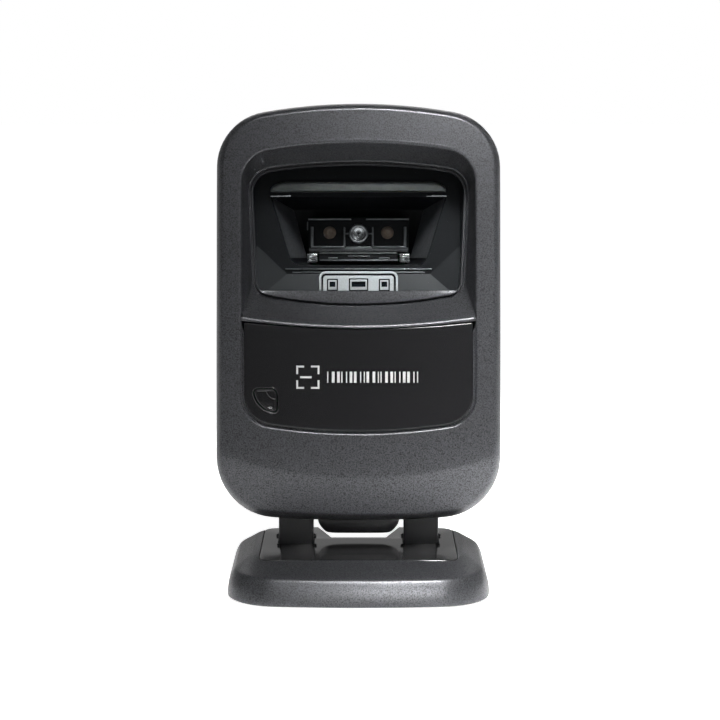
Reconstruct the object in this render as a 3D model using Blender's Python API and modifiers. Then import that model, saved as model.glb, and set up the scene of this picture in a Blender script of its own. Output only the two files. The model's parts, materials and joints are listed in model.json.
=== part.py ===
"""Hands-free presentation barcode scanner on a desk foot, as an assembly of separate named pieces.

Row frame: +Z up, the scan window faces -Y, origin on the resting surface under the middle of the object.
The head is drawn upright in its own frame: x across, y inwards from the crown of the front face, z up from
the lowest line of the chin. An empty on the tilt axis carries it and leans it back.
All dimensions are in millimetres and are multiplied by MM where the meshes are made.
"""

import math

import bmesh
import bpy
from mathutils import Vector

MM = 0.001
GAP = 0.3  # clearance between neighbouring pieces

# Driving dimensions of the head
HEAD_HALF_WIDTH = 43.0
HEAD_HEIGHT = 126.5
TOP_CROWN = 170.0  # radius of the bowed top edge
BOTTOM_CROWN = 400.0
TOP_CORNER = 17.0
BOTTOM_CORNER = 18.0
FACE_BOW = 1.5  # how far the face falls back from its middle to its sides
FACE_ARCH = 1.2  # and from its middle to its ends
FACE_MIDDLE = 72.0
CREASE_HEIGHT = 12.5  # below this line the chin turns under
CREASE_RISE = 6.0
CHIN_ANGLE = math.radians(24.0)
RIM_ROUND = 2.4  # rounding between the face and the side wall
PARTING_DEPTH = 17.0  # where the front bezel meets the rear housing
REAR_DEPTH = 52.9
SHELL_WALL = 2.2
FRONT_WALL = 3.0
REAR_SECTIONS = (
    # depth, half width, low edge, high edge, radius of the upper corners
    (PARTING_DEPTH + GAP, HEAD_HALF_WIDTH, 0.0, HEAD_HEIGHT, TOP_CORNER),
    (29.0, 42.4, 0.5, 125.4, 17.5),
    (39.0, 40.2, 2.4, 121.0, 18.0),
    (45.5, 36.0, 5.8, 113.5, 17.0),
    (50.0, 30.5, 10.8, 103.5, 14.0),
    (REAR_DEPTH, 24.5, 16.5, 92.0, 10.0),
)
BELLY_LEVELS = (
    # height, half width, front, back
    (-5.4, 9.0, 21.5, 33.0),
    (-4.4, 11.0, 20.4, 34.6),
    (-1.4, 12.6, 19.2, 37.0),
    (3.5, 12.6, 19.2, 43.5),
)
SCREW_SPOTS = {
    "left_low": (-34, 26),
    "right_low": (34, 26),
    "left_top": (-17, 117),
    "right_top": (17, 117),
}
BOSS_RADIUS = 3.4
WELL_RADIUS = 3.0
PILOT_RADIUS = 1.5
SCREW_SEAT = 33.0
LABEL_HALF_WIDTH = 19.2
LABEL_LOW = 33.8
LABEL_HIGH = 66.2
LABEL_SEAT = 0.5

# Driving dimensions of the tilt hinge
LEAN = math.radians(9.0)  # how far the head leans back at rest
PIVOT_WORLD = (0.0, 4.0, 34.2)
PIVOT_DEPTH = 27.0
PIVOT_HEIGHT = 16.0
SHAFT_RADIUS = 2.5
BUSH_BORE = 2.6
BUSH_RADIUS = 3.9
EYE_BORE = 4.0
EYE_RADIUS = 6.5
LEG_OFFSET = 19.4
LEG_WIDTH = 10.8
LEG_THICKNESS = 5.5
LEG_FRONT = -2.0
TOE_BACK = 15.0
TOE_LOW = 6.0
TOE_TOP = 7.6
PIN_RADIUS = 0.8
PIN_PROUD = 0.8
PIN_HEIGHT = 12.6
BRACKET_FRONT = 35.6
BRACKET_BACK = 36.8
WASHER_RADIUS = 5.2
CLIP_RADIUS = 4.2

# Driving dimensions of the front: recess, scan window and cover panel
RECESS_HALF_WIDTH = 35.9
RECESS_TOP = 114.7
LEDGE_HEIGHT = 59.6
MOUTH_DEPTH = 10.0
APERTURE_HALF_WIDTH = 33.0
APERTURE_LOW = 65.2
APERTURE_TOP = 109.7
SILL_TOP = 69.8
PANE_FRONT = 12.5
PANE_THICKNESS = 1.5
PANEL_HALF_WIDTH = 34.4
PANEL_LOW = 27.0
PANEL_TOP = 57.9
PANEL_SAG = 2.0

# Trigger button: a quarter disc with its corner at the upper right
TRIGGER_CORNER = (-24.6, 39.8)
TRIGGER_RADIUS = 6.8
TRIGGER_ROUND = 0.9
TRIGGER_STEM = 2.7  # how far in from the square corner the stem stands

# Imaging engine and host port
LENS_SPOT = (0.0, 88.4)
LED_SPREAD = 9.1
ENGINE_FRONT = 30.5
ENGINE_BACK = 44.0
JACK_LOW = 16.2
JACK_HIGH = 28.6
CONTACT_COUNT = 8
CONTACT_PITCH = 1.15

# Driving dimensions of the foot
FOOT_HALF_WIDTH = 39.4
FOOT_FRONT = -41.5
FOOT_BACK = 28.5
FOOT_TOP = 11.0
FOOT_UNDERSIDE = 0.8
INLAY_HALF_WIDTH = 30.0
INLAY_FRONT = -25.5
INLAY_BACK = 20.5
INLAY_LOW = 9.4
FOOT_SECTIONS = (
    # height, inset at the sides, at the front, at the back, corner radius
    (FOOT_UNDERSIDE, 0.5, 0.6, 0.5, 16.5),
    (2.0, 0.0, 0.0, 0.0, 17.0),
    (4.8, 0.5, 1.2, 0.6, 16.5),
    (7.4, 1.3, 3.2, 1.5, 15.5),
    (8.7, 2.4, 5.6, 2.7, 14.5),
    (9.6, 3.9, 9.2, 4.0, 13.0),
    (FOOT_TOP, 6.6, 15.2, 6.2, 10.0),
)
PAD_SPOTS = {
    "front_left": (-26, -28),
    "front_right": (26, -28),
    "rear_left": (-26, 15),
    "rear_right": (26, 15),
}
PAD_RADIUS = 5.0

ROUND_SIDES = 24
SMALL_SIDES = 14
PILOT_SIDES = 10

MATERIALS = {
    "textured_grey": ((0.075, 0.077, 0.082), 0.5, 0.35),
    "satin_black": ((0.018, 0.018, 0.020), 0.45, 0.0),
    "gloss_black": ((0.012, 0.012, 0.013), 0.08, 0.0),
    "clear_pane": ((0.35, 0.36, 0.38), 0.05, 0.0),
    "diffuser": ((0.42, 0.43, 0.40), 0.35, 0.0),
    "white_plastic": ((0.70, 0.70, 0.70), 0.4, 0.0),
    "lens_glass": ((0.10, 0.12, 0.16), 0.03, 0.0),
    "led_amber": ((0.20, 0.14, 0.10), 0.2, 0.0),
    "steel": ((0.55, 0.55, 0.56), 0.3, 1.0),
    "gold": ((0.75, 0.55, 0.22), 0.3, 1.0),
    "circuit_green": ((0.02, 0.12, 0.05), 0.45, 0.0),
    "flex_amber": ((0.45, 0.22, 0.04), 0.35, 0.0),
    "rubber_black": ((0.02, 0.02, 0.02), 0.85, 0.0),
    "nylon_white": ((0.65, 0.65, 0.62), 0.5, 0.0),
    "label_grey": ((0.35, 0.35, 0.36), 0.5, 0.0),
}

parts = cutters = head = stand = None


# ---------------------------------------------------------------- scene, materials, placing


def start_scene():
    """An empty scene with a collection for the scanner, one for its cutters, and an empty for each body."""
    global parts, cutters, head, stand
    for old in list(bpy.data.objects):
        bpy.data.objects.remove(old)
    parts = bpy.data.collections.new("presentation_scanner")
    cutters = bpy.data.collections.new("cutters")
    for collection in (parts, cutters):
        bpy.context.scene.collection.children.link(collection)
    stand = bpy.data.objects.new("stand_frame", None)
    head = bpy.data.objects.new("head_tilt_axis", None)
    head.location = Vector(PIVOT_WORLD) * MM
    head.rotation_euler = (-LEAN, 0, 0)
    for empty in (stand, head):
        parts.objects.link(empty)


def material(name):
    found = bpy.data.materials.get(name)
    if found:
        return found
    color, roughness, metallic = MATERIALS[name]
    made = bpy.data.materials.new(name)
    made.use_nodes = True
    shader = made.node_tree.nodes["Principled BSDF"]
    shader.inputs["Base Color"].default_value = (*color, 1)
    shader.inputs["Roughness"].default_value = roughness
    shader.inputs["Metallic"].default_value = metallic
    if name == "clear_pane":
        shader.inputs["Transmission Weight"].default_value = 0.9
    return made


def add(name, mesh, look, body, at=(0, 0, 0)):
    """Links a mesh or curve as a piece of a body. at is in the body's own drawing frame, in millimetres."""
    obj = bpy.data.objects.new(name, mesh)
    obj.parent = body
    origin = Vector((0, PIVOT_DEPTH, PIVOT_HEIGHT)) if body is head else Vector()
    obj.location = (Vector(at) - origin) * MM
    if look:
        mesh.materials.append(material(look))
        parts.objects.link(obj)
    else:
        cutters.objects.link(obj)
        obj.hide_render = True
        obj.display_type = "WIRE"
    return obj


def combine(obj, operation, others):
    for other in others:
        modifier = obj.modifiers.new(f"{operation.lower()} {other.name}", "BOOLEAN")
        modifier.operation = operation
        modifier.object = other
    return obj


def cut(obj, *others):
    return combine(obj, "DIFFERENCE", others)


def join(obj, *others):
    return combine(obj, "UNION", others)


def as_mesh(obj):
    """Replaces a curve object by a mesh object of the same shape, so that it can take a Boolean."""
    bpy.context.view_layer.update()
    graph = bpy.context.evaluated_depsgraph_get()
    mesh = bpy.data.meshes.new_from_object(obj.evaluated_get(graph))
    name, matrix = obj.name, obj.matrix_world.copy()
    parent, collection = obj.parent, obj.users_collection[0]
    bpy.data.objects.remove(obj)
    edit = bmesh.new()
    edit.from_mesh(mesh)
    bmesh.ops.remove_doubles(edit, verts=edit.verts, dist=1e-6)
    edit.to_mesh(mesh)
    edit.free()
    made = bpy.data.objects.new(name, mesh)
    collection.objects.link(made)
    made.parent = parent
    made.matrix_world = matrix
    return made


# ---------------------------------------------------------------- shapes


def finish_mesh(name, edit, smooth_angle=35):
    bmesh.ops.recalc_face_normals(edit, faces=edit.faces)
    mesh = bpy.data.meshes.new(name)
    edit.to_mesh(mesh)
    edit.free()
    mesh.shade_smooth()
    mesh.set_sharp_from_angle(angle=math.radians(smooth_angle))
    return mesh


def box(name, look, body, low, high, bevel=0.0):
    """A box between two corners, with its origin at its centre and rounded edges if asked."""
    low, high = Vector(low), Vector(high)
    edit = bmesh.new()
    bmesh.ops.create_cube(edit, size=1)
    for vert in edit.verts:
        vert.co = Vector(a * b for a, b in zip(vert.co, high - low)) * MM
    obj = add(name, finish_mesh(name, edit), look, body, (low + high) / 2)
    if bevel:
        modifier = obj.modifiers.new("rounded edges", "BEVEL")
        modifier.width = bevel * MM
        modifier.segments = 2
    return obj


TURNS = {"x": (0, math.pi / 2, 0), "y": (-math.pi / 2, 0, 0), "z": (0, 0, 0)}


def turned(name, look, body, axis, at, profile, sides=ROUND_SIDES):
    """A solid of revolution. profile lists (radius, distance along axis) from the start end to the far end,
    and closes on itself when it stays clear of the axis."""
    mesh = bpy.data.meshes.new(name)
    points = [(radius * MM, 0, distance * MM) for radius, distance in reversed(profile)]
    count = len(points)
    edges = [(i, (i + 1) % count) for i in range(count if profile[0][0] else count - 1)]
    mesh.from_pydata(points, edges, [])
    obj = add(name, mesh, look, body, at)
    obj.rotation_euler = TURNS[axis]
    screw = obj.modifiers.new("turned", "SCREW")
    screw.steps = screw.render_steps = sides
    screw.use_merge_vertices = True
    screw.merge_threshold = 0.001 * MM
    return obj


def cylinder(name, look, body, axis, at, radius, length, sides=ROUND_SIDES):
    """A round bar that starts at a point and runs along an axis."""
    edit = bmesh.new()
    bmesh.ops.create_cone(
        edit, cap_ends=True, segments=sides, radius1=radius * MM, radius2=radius * MM, depth=length * MM
    )
    bmesh.ops.translate(edit, vec=(0, 0, length / 2 * MM), verts=edit.verts)
    obj = add(name, finish_mesh(name, edit), look, body, at)
    obj.rotation_euler = TURNS[axis]
    return obj


def tube(name, look, body, axis, at, radii, length):
    """A ring or a sleeve with an inner and an outer radius."""
    bore, radius = radii
    return turned(name, look, body, axis, at, [(bore, 0), (radius, 0), (radius, length), (bore, length)])


def loft(name, look, body, rings, at=(0, 0, 0)):
    """A closed surface through rings of equal count. A ring of one point is a tip, other ends get a cap."""
    edit = bmesh.new()
    made = [[edit.verts.new(Vector(p) * MM) for p in ring] for ring in rings]
    for first, second in zip(made, made[1:]):
        count = max(len(first), len(second))
        for i in range(count):
            j = (i + 1) % count
            if len(first) == 1:
                edit.faces.new((first[0], second[j], second[i]))
            elif len(second) == 1:
                edit.faces.new((first[i], first[j], second[0]))
            else:
                edit.faces.new((first[i], first[j], second[j], second[i]))
    for end in (made[0], made[-1]):
        if len(end) > 1:
            edit.faces.new(end)
    return add(name, finish_mesh(name, edit), look, body, at)


def quadrant(half_width, crown, corner, crown_steps, corner_steps):
    """From the middle of a bowed end to a straight side: (across, distance in from the end)."""
    corner_across = half_width - corner
    corner_in = crown - math.sqrt((crown - corner) ** 2 - corner_across**2)
    meet = math.atan2(corner_across, crown - corner_in)
    points = []
    for i in range(crown_steps):
        angle = meet * i / crown_steps
        points.append((crown * math.sin(angle), crown * (1 - math.cos(angle))))
    for i in range(corner_steps + 1):
        angle = meet + (math.pi / 2 - meet) * i / corner_steps
        points.append((corner_across + corner * math.sin(angle), corner_in - corner * math.cos(angle)))
    return points


def outline(half_width, low, high, crowns, corners, steps=(3, 4)):
    """A closed outline with bowed ends and round corners, that starts in the middle of its high end."""
    top = quadrant(half_width, crowns[1], corners[1], *steps)
    bottom = quadrant(half_width, crowns[0], corners[0], *steps)
    right = [(x, high - d) for x, d in top] + [(x, low + d) for x, d in reversed(bottom)]
    left = [(-x, z) for x, z in reversed(right[1:-1])]
    return right + left


def scaled(points, share, centre):
    return [(centre[0] + (x - centre[0]) * share, centre[1] + (z - centre[1]) * share) for x, z in points]


def face_depth(x, z):
    """How far the front lies behind its crown: bowed across and along, and turned under at the chin."""
    along = (z - FACE_MIDDLE) / (HEAD_HEIGHT - FACE_MIDDLE)
    depth = FACE_BOW * (x / HEAD_HALF_WIDTH) ** 2 + FACE_ARCH * along**2
    crease = CREASE_HEIGHT + CREASE_RISE * (x / 39) ** 2
    return depth + max(0.0, crease - z) * math.tan(CHIN_ANGLE)


def face_ring(points, offset):
    return [(x, face_depth(x, z) + offset, z) for x, z in points]


def flat_ring(points, depth):
    return [(x, depth, z) for x, z in points]


def crowned_plate(name, look, points, front, back, shares=(0.45, 0.8)):
    """A plate of the head that follows the front face, between two offsets from it."""
    centre = (sum(p[0] for p in points) / len(points), sum(p[1] for p in points) / len(points))
    steps = [[centre], *(scaled(points, share, centre) for share in shares), points]
    rings = [face_ring(step, front) for step in steps] + [face_ring(step, back) for step in reversed(steps)]
    return loft(name, look, head, rings)


def flat_outline(name, look, body, splines, thickness, at, turn):
    """A 2D curve filled and given a thickness. The first spline is the outside, the others are holes."""
    curve = bpy.data.curves.new(name, "CURVE")
    curve.dimensions = "2D"
    curve.fill_mode = "BOTH"
    curve.extrude = thickness / 2 * MM
    for points in splines:
        spline = curve.splines.new("POLY")
        spline.points.add(len(points) - 1)
        for point, (u, v) in zip(spline.points, points):
            point.co = (u * MM, v * MM, 0, 1)
        spline.use_cyclic_u = True
    obj = add(name, curve, look, body, at)
    obj.rotation_euler = turn
    return obj


SIDE_ON = (math.pi / 2, 0, math.pi / 2)  # drawn as (y, z), thickness along x
FACE_ON = (math.pi / 2, 0, 0)  # drawn as (x, z), thickness along y


def plate(name, look, splines, front, back):
    """A straight-sided plate of the head, drawn across and up, between two depths."""
    return flat_outline(name, look, head, splines, back - front, (0, (front + back) / 2, 0), FACE_ON)


def arc(centre, radius, start, end, steps):
    """Points on an arc, angles in degrees."""
    angles = [math.radians(start + (end - start) * i / steps) for i in range(steps + 1)]
    return [(centre[0] + radius * math.cos(a), centre[1] + radius * math.sin(a)) for a in angles]


def circle(centre, radius, sides):
    return arc(centre, radius, 0, 360, sides)[:-1]


# ---------------------------------------------------------------- outlines of the head


def head_outline(inset=0.0, steps=(3, 4)):
    return outline(
        HEAD_HALF_WIDTH - inset,
        inset,
        HEAD_HEIGHT - inset,
        (BOTTOM_CROWN - inset, TOP_CROWN - inset),
        (BOTTOM_CORNER - inset, TOP_CORNER - inset),
        steps,
    )


def mouth_outline(inset):
    """Mouth of the window recess: round shoulders above and a sharp-cornered smiling ledge below."""
    return outline(
        RECESS_HALF_WIDTH - inset,
        LEDGE_HEIGHT + inset,
        RECESS_TOP - inset,
        (240, 180 - inset),
        (1.0, 10 - inset),
    )


def aperture_outline(grow):
    return outline(
        APERTURE_HALF_WIDTH + grow,
        APERTURE_LOW - grow,
        APERTURE_TOP + grow,
        (150 + grow, 175 + grow),
        (5 + grow, 8 + grow),
    )


def panel_outline(grow):
    """Front cover panel: its top edge dips like the ledge above it, and its lower corners are round."""
    half, crown, corner = PANEL_HALF_WIDTH + grow, 180 + grow, 9 + grow
    bottom = quadrant(half, crown, corner, 3, 4)
    across = [half * i / 4 for i in range(5)]
    top = [(x, PANEL_TOP + grow + PANEL_SAG * (x / half) ** 2) for x in across]
    right = top + [(x, PANEL_LOW - grow + d) for x, d in reversed(bottom)]
    return right + [(-x, z) for x, z in reversed(right[1:-1])]


def trigger_outline(grow):
    """Quarter disc with rounded corners. Its square corner is at the upper right."""
    x, z = TRIGGER_CORNER
    small, radius = TRIGGER_ROUND, TRIGGER_RADIUS
    reach = math.sqrt((radius - small) ** 2 - small**2)
    bend = math.degrees(math.asin(small / (radius - small)))
    square = arc((x - small, z - small), small + grow, 0, 90, 3)
    left = arc((x - reach, z - small), small + grow, 90, 180 + bend, 3)
    round_side = arc((x, z), radius + grow, 180 + bend, 270 - bend, 6)[1:-1]
    low = arc((x - small, z - reach), small + grow, 270 - bend, 360, 3)
    return square + left + round_side + low


# ---------------------------------------------------------------- head shells


def front_bezel():
    rim = head_outline(RIM_ROUND)
    centre = (0, 65)
    rings = [face_ring([centre], 0), *(face_ring(scaled(rim, s, centre), 0) for s in (0.4, 0.8, 1.0))]
    rings.append(face_ring(head_outline(RIM_ROUND * 0.3), RIM_ROUND * 0.3))
    rings.append(face_ring(head_outline(), RIM_ROUND))
    rings.append(flat_ring(head_outline(), PARTING_DEPTH))
    bezel = loft("front_bezel", "textured_grey", head, rings)

    inside = head_outline(SHELL_WALL)
    hollow_rings = [face_ring([centre], FRONT_WALL)]
    hollow_rings += [face_ring(scaled(inside, s, centre), FRONT_WALL) for s in (0.4, 0.8, 0.95)]
    hollow_rings.append(face_ring(inside, FRONT_WALL + 1.5))
    hollow_rings.append(flat_ring(inside, PARTING_DEPTH + 3))
    hollow = loft("bezel_hollow", None, head, hollow_rings)
    walls = [flat_ring(mouth_outline(-2.0), -3), flat_ring(mouth_outline(-1.6), 3)]
    walls.append(flat_ring(aperture_outline(1.9), MOUTH_DEPTH + 1.2))
    cut(hollow, loft("funnel_block", None, head, walls))
    pilots = []
    for spot, (x, z) in SCREW_SPOTS.items():
        at, length = (x, FRONT_WALL - 0.5, z), PARTING_DEPTH + 4
        cut(hollow, cylinder(f"bezel_boss_{spot}", None, head, "y", at, BOSS_RADIUS, length, SMALL_SIDES))
        pilot = cylinder(f"bezel_pilot_{spot}", None, head, "y", (x, 9, z), PILOT_RADIUS, 14, PILOT_SIDES)
        pilots.append(pilot)

    near, far = mouth_outline(0.6), aperture_outline(0)
    steps = (flat_ring(near, -4), flat_ring(near, 2), flat_ring(far, MOUTH_DEPTH), flat_ring(far, 12))
    funnel = loft("funnel_cut", None, head, steps)
    pocket = crowned_plate("panel_pocket", None, panel_outline(GAP), -6, 2.1)
    port = crowned_plate("panel_port", None, panel_outline(-1.8), -5, 8)
    cut(bezel, hollow, funnel, pocket, port, *pilots)


def rear_ring(depth, half_width, low, high, corner, inset=0.0):
    points = outline(
        half_width - inset,
        low + inset,
        high - inset,
        (BOTTOM_CROWN - inset, TOP_CROWN - inset),
        (corner + 1 - inset, corner - inset),
    )
    return flat_ring(points, depth)


def belly():
    """Rounded boss under the rear housing, between the legs, that covers the middle of the hinge."""
    rings = []
    for z, half, front, back in BELLY_LEVELS:
        plan = outline(half, front, back, (90, 90), (3, 3), (2, 3))
        rings.append([(x, y, z) for x, y in plan])
    return loft("belly_boss", None, head, rings)


def rear_hollow():
    """Cutter for the inside of the rear housing, which leaves the wall and the four screw bosses."""
    last = len(REAR_SECTIONS) - 1
    rings = [rear_ring(PARTING_DEPTH - 2, *REAR_SECTIONS[0][1:], SHELL_WALL)]
    for i, (depth, *section) in enumerate(REAR_SECTIONS):
        rings.append(rear_ring(depth - SHELL_WALL * i / last, *section, SHELL_WALL))
    hollow = loft("rear_hollow", None, head, rings)
    for spot, (x, z) in SCREW_SPOTS.items():
        at = (x, PARTING_DEPTH + GAP, z)
        cut(hollow, cylinder(f"rear_boss_{spot}", None, head, "y", at, BOSS_RADIUS + 1, 32, SMALL_SIDES))
    return hollow


def rear_housing():
    shell = loft("rear_housing", "satin_black", head, [rear_ring(*section) for section in REAR_SECTIONS])
    # The joined belly comes before the cuts that pass through both.
    join(shell, belly())
    cut(shell, rear_hollow())
    half = LEG_WIDTH / 2 + GAP
    for side, x in (("left", -LEG_OFFSET), ("right", LEG_OFFSET)):
        low, high = (x - half, PARTING_DEPTH - 2, -8), (x + half, 36.2, 6)
        cut(shell, box(f"leg_slot_{side}", None, head, low, high))
    for spot, (x, z) in SCREW_SPOTS.items():
        well = cylinder(f"well_{spot}", None, head, "y", (x, SCREW_SEAT, z), WELL_RADIUS, 20, SMALL_SIDES)
        pilot = cylinder(f"rear_pilot_{spot}", None, head, "y", (x, 10, z), PILOT_RADIUS, 40, PILOT_SIDES)
        cut(shell, well, pilot)
    for i in range(4):
        z = 85 + 2.6 * i
        cut(shell, box(f"sound_slot_{i}", None, head, (-4.5, 46, z), (4.5, 60, z + 1.2)))
    low = (-LABEL_HALF_WIDTH, REAR_DEPTH - LABEL_SEAT, LABEL_LOW)
    label_seat = box("label_seat", None, head, low, (LABEL_HALF_WIDTH, 62, LABEL_HIGH))
    port = box("port_window", None, head, (-6.9, 44, JACK_LOW + 0.9), (6.9, 62, JACK_HIGH - 0.6))
    cut(shell, label_seat, port)


def rating_label():
    low = (GAP - LABEL_HALF_WIDTH, REAR_DEPTH - LABEL_SEAT + GAP, LABEL_LOW + GAP)
    box("rating_label", "label_grey", head, low, (LABEL_HALF_WIDTH - GAP, REAR_DEPTH, LABEL_HIGH - GAP))


def housing_screws():
    seat = SCREW_SEAT + GAP
    top = seat + 2.2
    profile = [(0, 11), (1.2, 11), (1.2, seat), (2.6, seat), (2.6, top - 0.6)]
    profile += [(1.9, top), (1.0, top), (0.8, top - 1.3), (0, top - 1.3)]
    for spot, (x, z) in SCREW_SPOTS.items():
        turned(f"housing_screw_{spot}", "steel", head, "y", (x, 0, z), profile, SMALL_SIDES)


# ---------------------------------------------------------------- window, panel and what lies behind them


def window_parts():
    seat = aperture_outline(1.6)
    plate("scan_window", "clear_pane", [seat], PANE_FRONT, PANE_FRONT + PANE_THICKNESS)
    plate("window_gasket", "rubber_black", [seat, aperture_outline(0.2)], 11.5, PANE_FRONT - GAP)

    # The sill closes the aperture below the pane: a crescent that leans back to a straight upper edge.
    low = sorted(p for p in aperture_outline(-GAP) if p[1] < SILL_TOP - 0.6)
    edge = [(x, SILL_TOP) for x, _ in reversed(low)]
    front = flat_ring(low, 8.9) + flat_ring(edge, 11.6)
    loft("window_sill", "textured_grey", head, [front, flat_ring(low + edge, PANE_FRONT - GAP)])

    bar = outline(26.4, 99.6, 103.0, (4000, 4000), (0.4, 2.6), (1, 3))
    plate("indicator_light_bar", "diffuser", [bar], 14.5, 17.4)


def trapezoid(half_low, half_high, low, high, corner):
    """Upright trapezoid with round lower corners, from its upper right corner clockwise."""
    lean = math.degrees(math.atan2(half_high - half_low, high - low))
    turn = arc((half_low - corner + 0.4, low + corner), corner, lean * -1, -90, 4)
    right = [(half_high, high), *turn]
    return right + [(-x, z) for x, z in reversed(right)]


def engine_bay():
    rim = outline(31, 76.4, 106, (4000, 400), (2, 8), (2, 3))
    flange = as_mesh(plate("engine_shroud", "gloss_black", [rim], 17.8, 19.2))
    outer = [
        flat_ring(trapezoid(21.9, 27.9, 76.4, 99.9, 3.5), 18.2),
        flat_ring(trapezoid(18.7, 21.2, 77.2, 97.5, 3), 33.0),
    ]
    inner = [
        flat_ring(trapezoid(20.8, 26.9, 77.4, 98.6, 3), 17.0),
        flat_ring(trapezoid(20.5, 26.5, 77.5, 98.5, 3), 18.0),
        flat_ring(trapezoid(17.4, 19.9, 78.4, 96.2, 2.5), 34.0),
    ]
    join(flange, loft("shroud_outer", None, head, outer))
    cut(flange, loft("shroud_inner", None, head, inner))

    # Floor in front of the shroud: rises from the sill to the flange, and narrows as it goes back.
    front = [(-30.2, 14.4, 67.6), (30.2, 14.4, 67.6), (30.2, 14.4, 69.6), (-30.2, 14.4, 69.6)]
    back = [(-23.2, 17.4, 73.4), (23.2, 17.4, 73.4), (23.2, 17.4, 75.8), (-23.2, 17.4, 75.8)]
    floor = loft("cavity_floor", "satin_black", head, [front, back])
    cut(floor, box("module_bay", None, head, (-12.4, 12, 60), (12.4, 16.5, 90)))


def illumination_module():
    """White emitter module that stands behind the pane just above the sill, with three framed windows."""
    corners = (-11.9, 14.3, 66.6), (11.9, 16.2, 75.3)
    frame = box("illumination_module", "white_plastic", head, *corners, bevel=0.4)
    low, high = 70.9, 73.8
    for side, x, half in (("left", -8.0, 1.6), ("centre", 0.1, 3.0), ("right", 8.1, 1.6)):
        cut(frame, box(f"module_window_{side}", None, head, (x - half, 12, low), (x + half, 15.5, high)))
        corners = (x - half + GAP, 14.6, low + GAP), (x + half - GAP, 15.2, high - GAP)
        box(f"module_emitter_{side}", "lens_glass", head, *corners)


def imager():
    """Imaging engine at the back of the shroud: housing with pockets, lens barrel, lens and two lamps."""
    corners = (-15.4, ENGINE_FRONT, 82.0), (15.4, ENGINE_BACK, 94.0)
    housing = box("imager_housing", "gloss_black", head, *corners)
    x, z = LENS_SPOT
    pockets = [
        box("pocket_left", None, head, (-14.4, 28, 85.0), (-4.6, 33.0, 93.2)),
        box("pocket_right", None, head, (4.6, 28, 85.0), (14.4, 33.0, 93.2)),
        box("pocket_centre", None, head, (-4.1, 28, 84.6), (4.1, 32.2, 93.0)),
        cylinder("barrel_bore", None, head, "y", (x, 28, z), 3.5, 12),
    ]
    cut(housing, *pockets)
    profile = [(0, 6.6), (1.2, 6.6), (1.9, 4.4), (2.0, 0.7), (2.6, 0.0), (3.2, 0.4), (3.2, 9.0), (0, 9.0)]
    turned("imager_lens_barrel", "steel", head, "y", (x, 29.4, z), profile)
    dome = [(0, 0.0), (0.6, 0.12), (1.1, 0.5), (1.35, 1.0), (1.0, 1.6), (0, 1.6)]
    turned("imager_lens", "lens_glass", head, "y", (x, 33.9, z), dome, SMALL_SIDES)
    lamp = [(0, 0.0), (0.9, 0.25), (1.6, 0.9), (2.05, 1.9), (2.05, 2.6), (0, 2.6)]
    for side, sign in (("left", -1), ("right", 1)):
        at = (sign * LED_SPREAD, 30.0, z + 0.3)
        turned(f"aiming_lamp_{side}", "led_amber", head, "y", at, lamp, SMALL_SIDES)
        low_x, high_x = sorted((sign * 12.9, sign * 15.4))
        box(f"engine_clip_{side}", "steel", head, (low_x, 29.3, 79.4), (high_x, 33.5, 81.7), bevel=0.4)
    rail = box("engine_rail", "satin_black", head, (-12.4, 29.8, 79.4), (12.4, ENGINE_BACK, 81.7))
    for i, centre in enumerate((-6.6, 3.0, 7.6)):
        cut(rail, box(f"rail_slot_{i}", None, head, (centre - 1.9, 28, 80.2), (centre + 1.9, 31, 81.0)))
    back = ENGINE_BACK + GAP
    box("imager_sensor_board", "circuit_green", head, (-15, back, 79), (15, back + 1.4, 95.5))


# ---------------------------------------------------------------- electronics


def electronics():
    box("main_circuit_board", "circuit_green", head, (-29, 40.6, 29.4), (29, 42.1, 70))
    box("processor_shield", "steel", head, (-14, 42.4, 36), (10, 45.2, 58), bevel=0.4)
    ribbon_path = [(47.4, 82.4), (47.4, 78), (46.6, 75), (45.0, 72), (43.4, 70), (42.7, 67), (42.5, 62)]
    thick = 0.35
    back = [(y + thick, z) for y, z in reversed(ribbon_path)]
    flat_outline("flex_ribbon", "flex_amber", head, [ribbon_path + back], 16, (0, 0, 0), SIDE_ON)
    box("ribbon_connector", "white_plastic", head, (-9, 46.0, 79.6), (9, 47.1, 82.6))
    cylinder("beeper", "satin_black", head, "y", (0, 46.9, 89.0), 4.5, 2.4)


def host_port():
    """Modular socket for the host cable in the lower back, with its row of spring contacts."""
    jack = box("host_port_jack", "satin_black", head, (-7.6, 38.4, JACK_LOW), (7.6, 48.9, JACK_HIGH))
    mouth = box("jack_mouth", None, head, (-5.9, 39.8, JACK_LOW + 1.5), (5.9, 56, JACK_HIGH - 2.8))
    latch = box("jack_latch_way", None, head, (-3.1, 41.0, JACK_HIGH - 3.4), (3.1, 56, JACK_HIGH - 1.2))
    cut(jack, mouth, latch)
    half, length = 0.3, 5.0
    comb = [(-5.2, 0), (5.2, 0), (5.2, 1)]
    for i in reversed(range(CONTACT_COUNT)):
        x = CONTACT_PITCH * (i - (CONTACT_COUNT - 1) / 2)
        comb += [(x + half, 1), (x + half, length), (x - half, length), (x - half, 1)]
    comb.append((-5.2, 1))
    flat_outline("host_port_contacts", "gold", head, [comb], 0.3, (0, 40.4, JACK_LOW + 2.1), (0, 0, 0))


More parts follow.
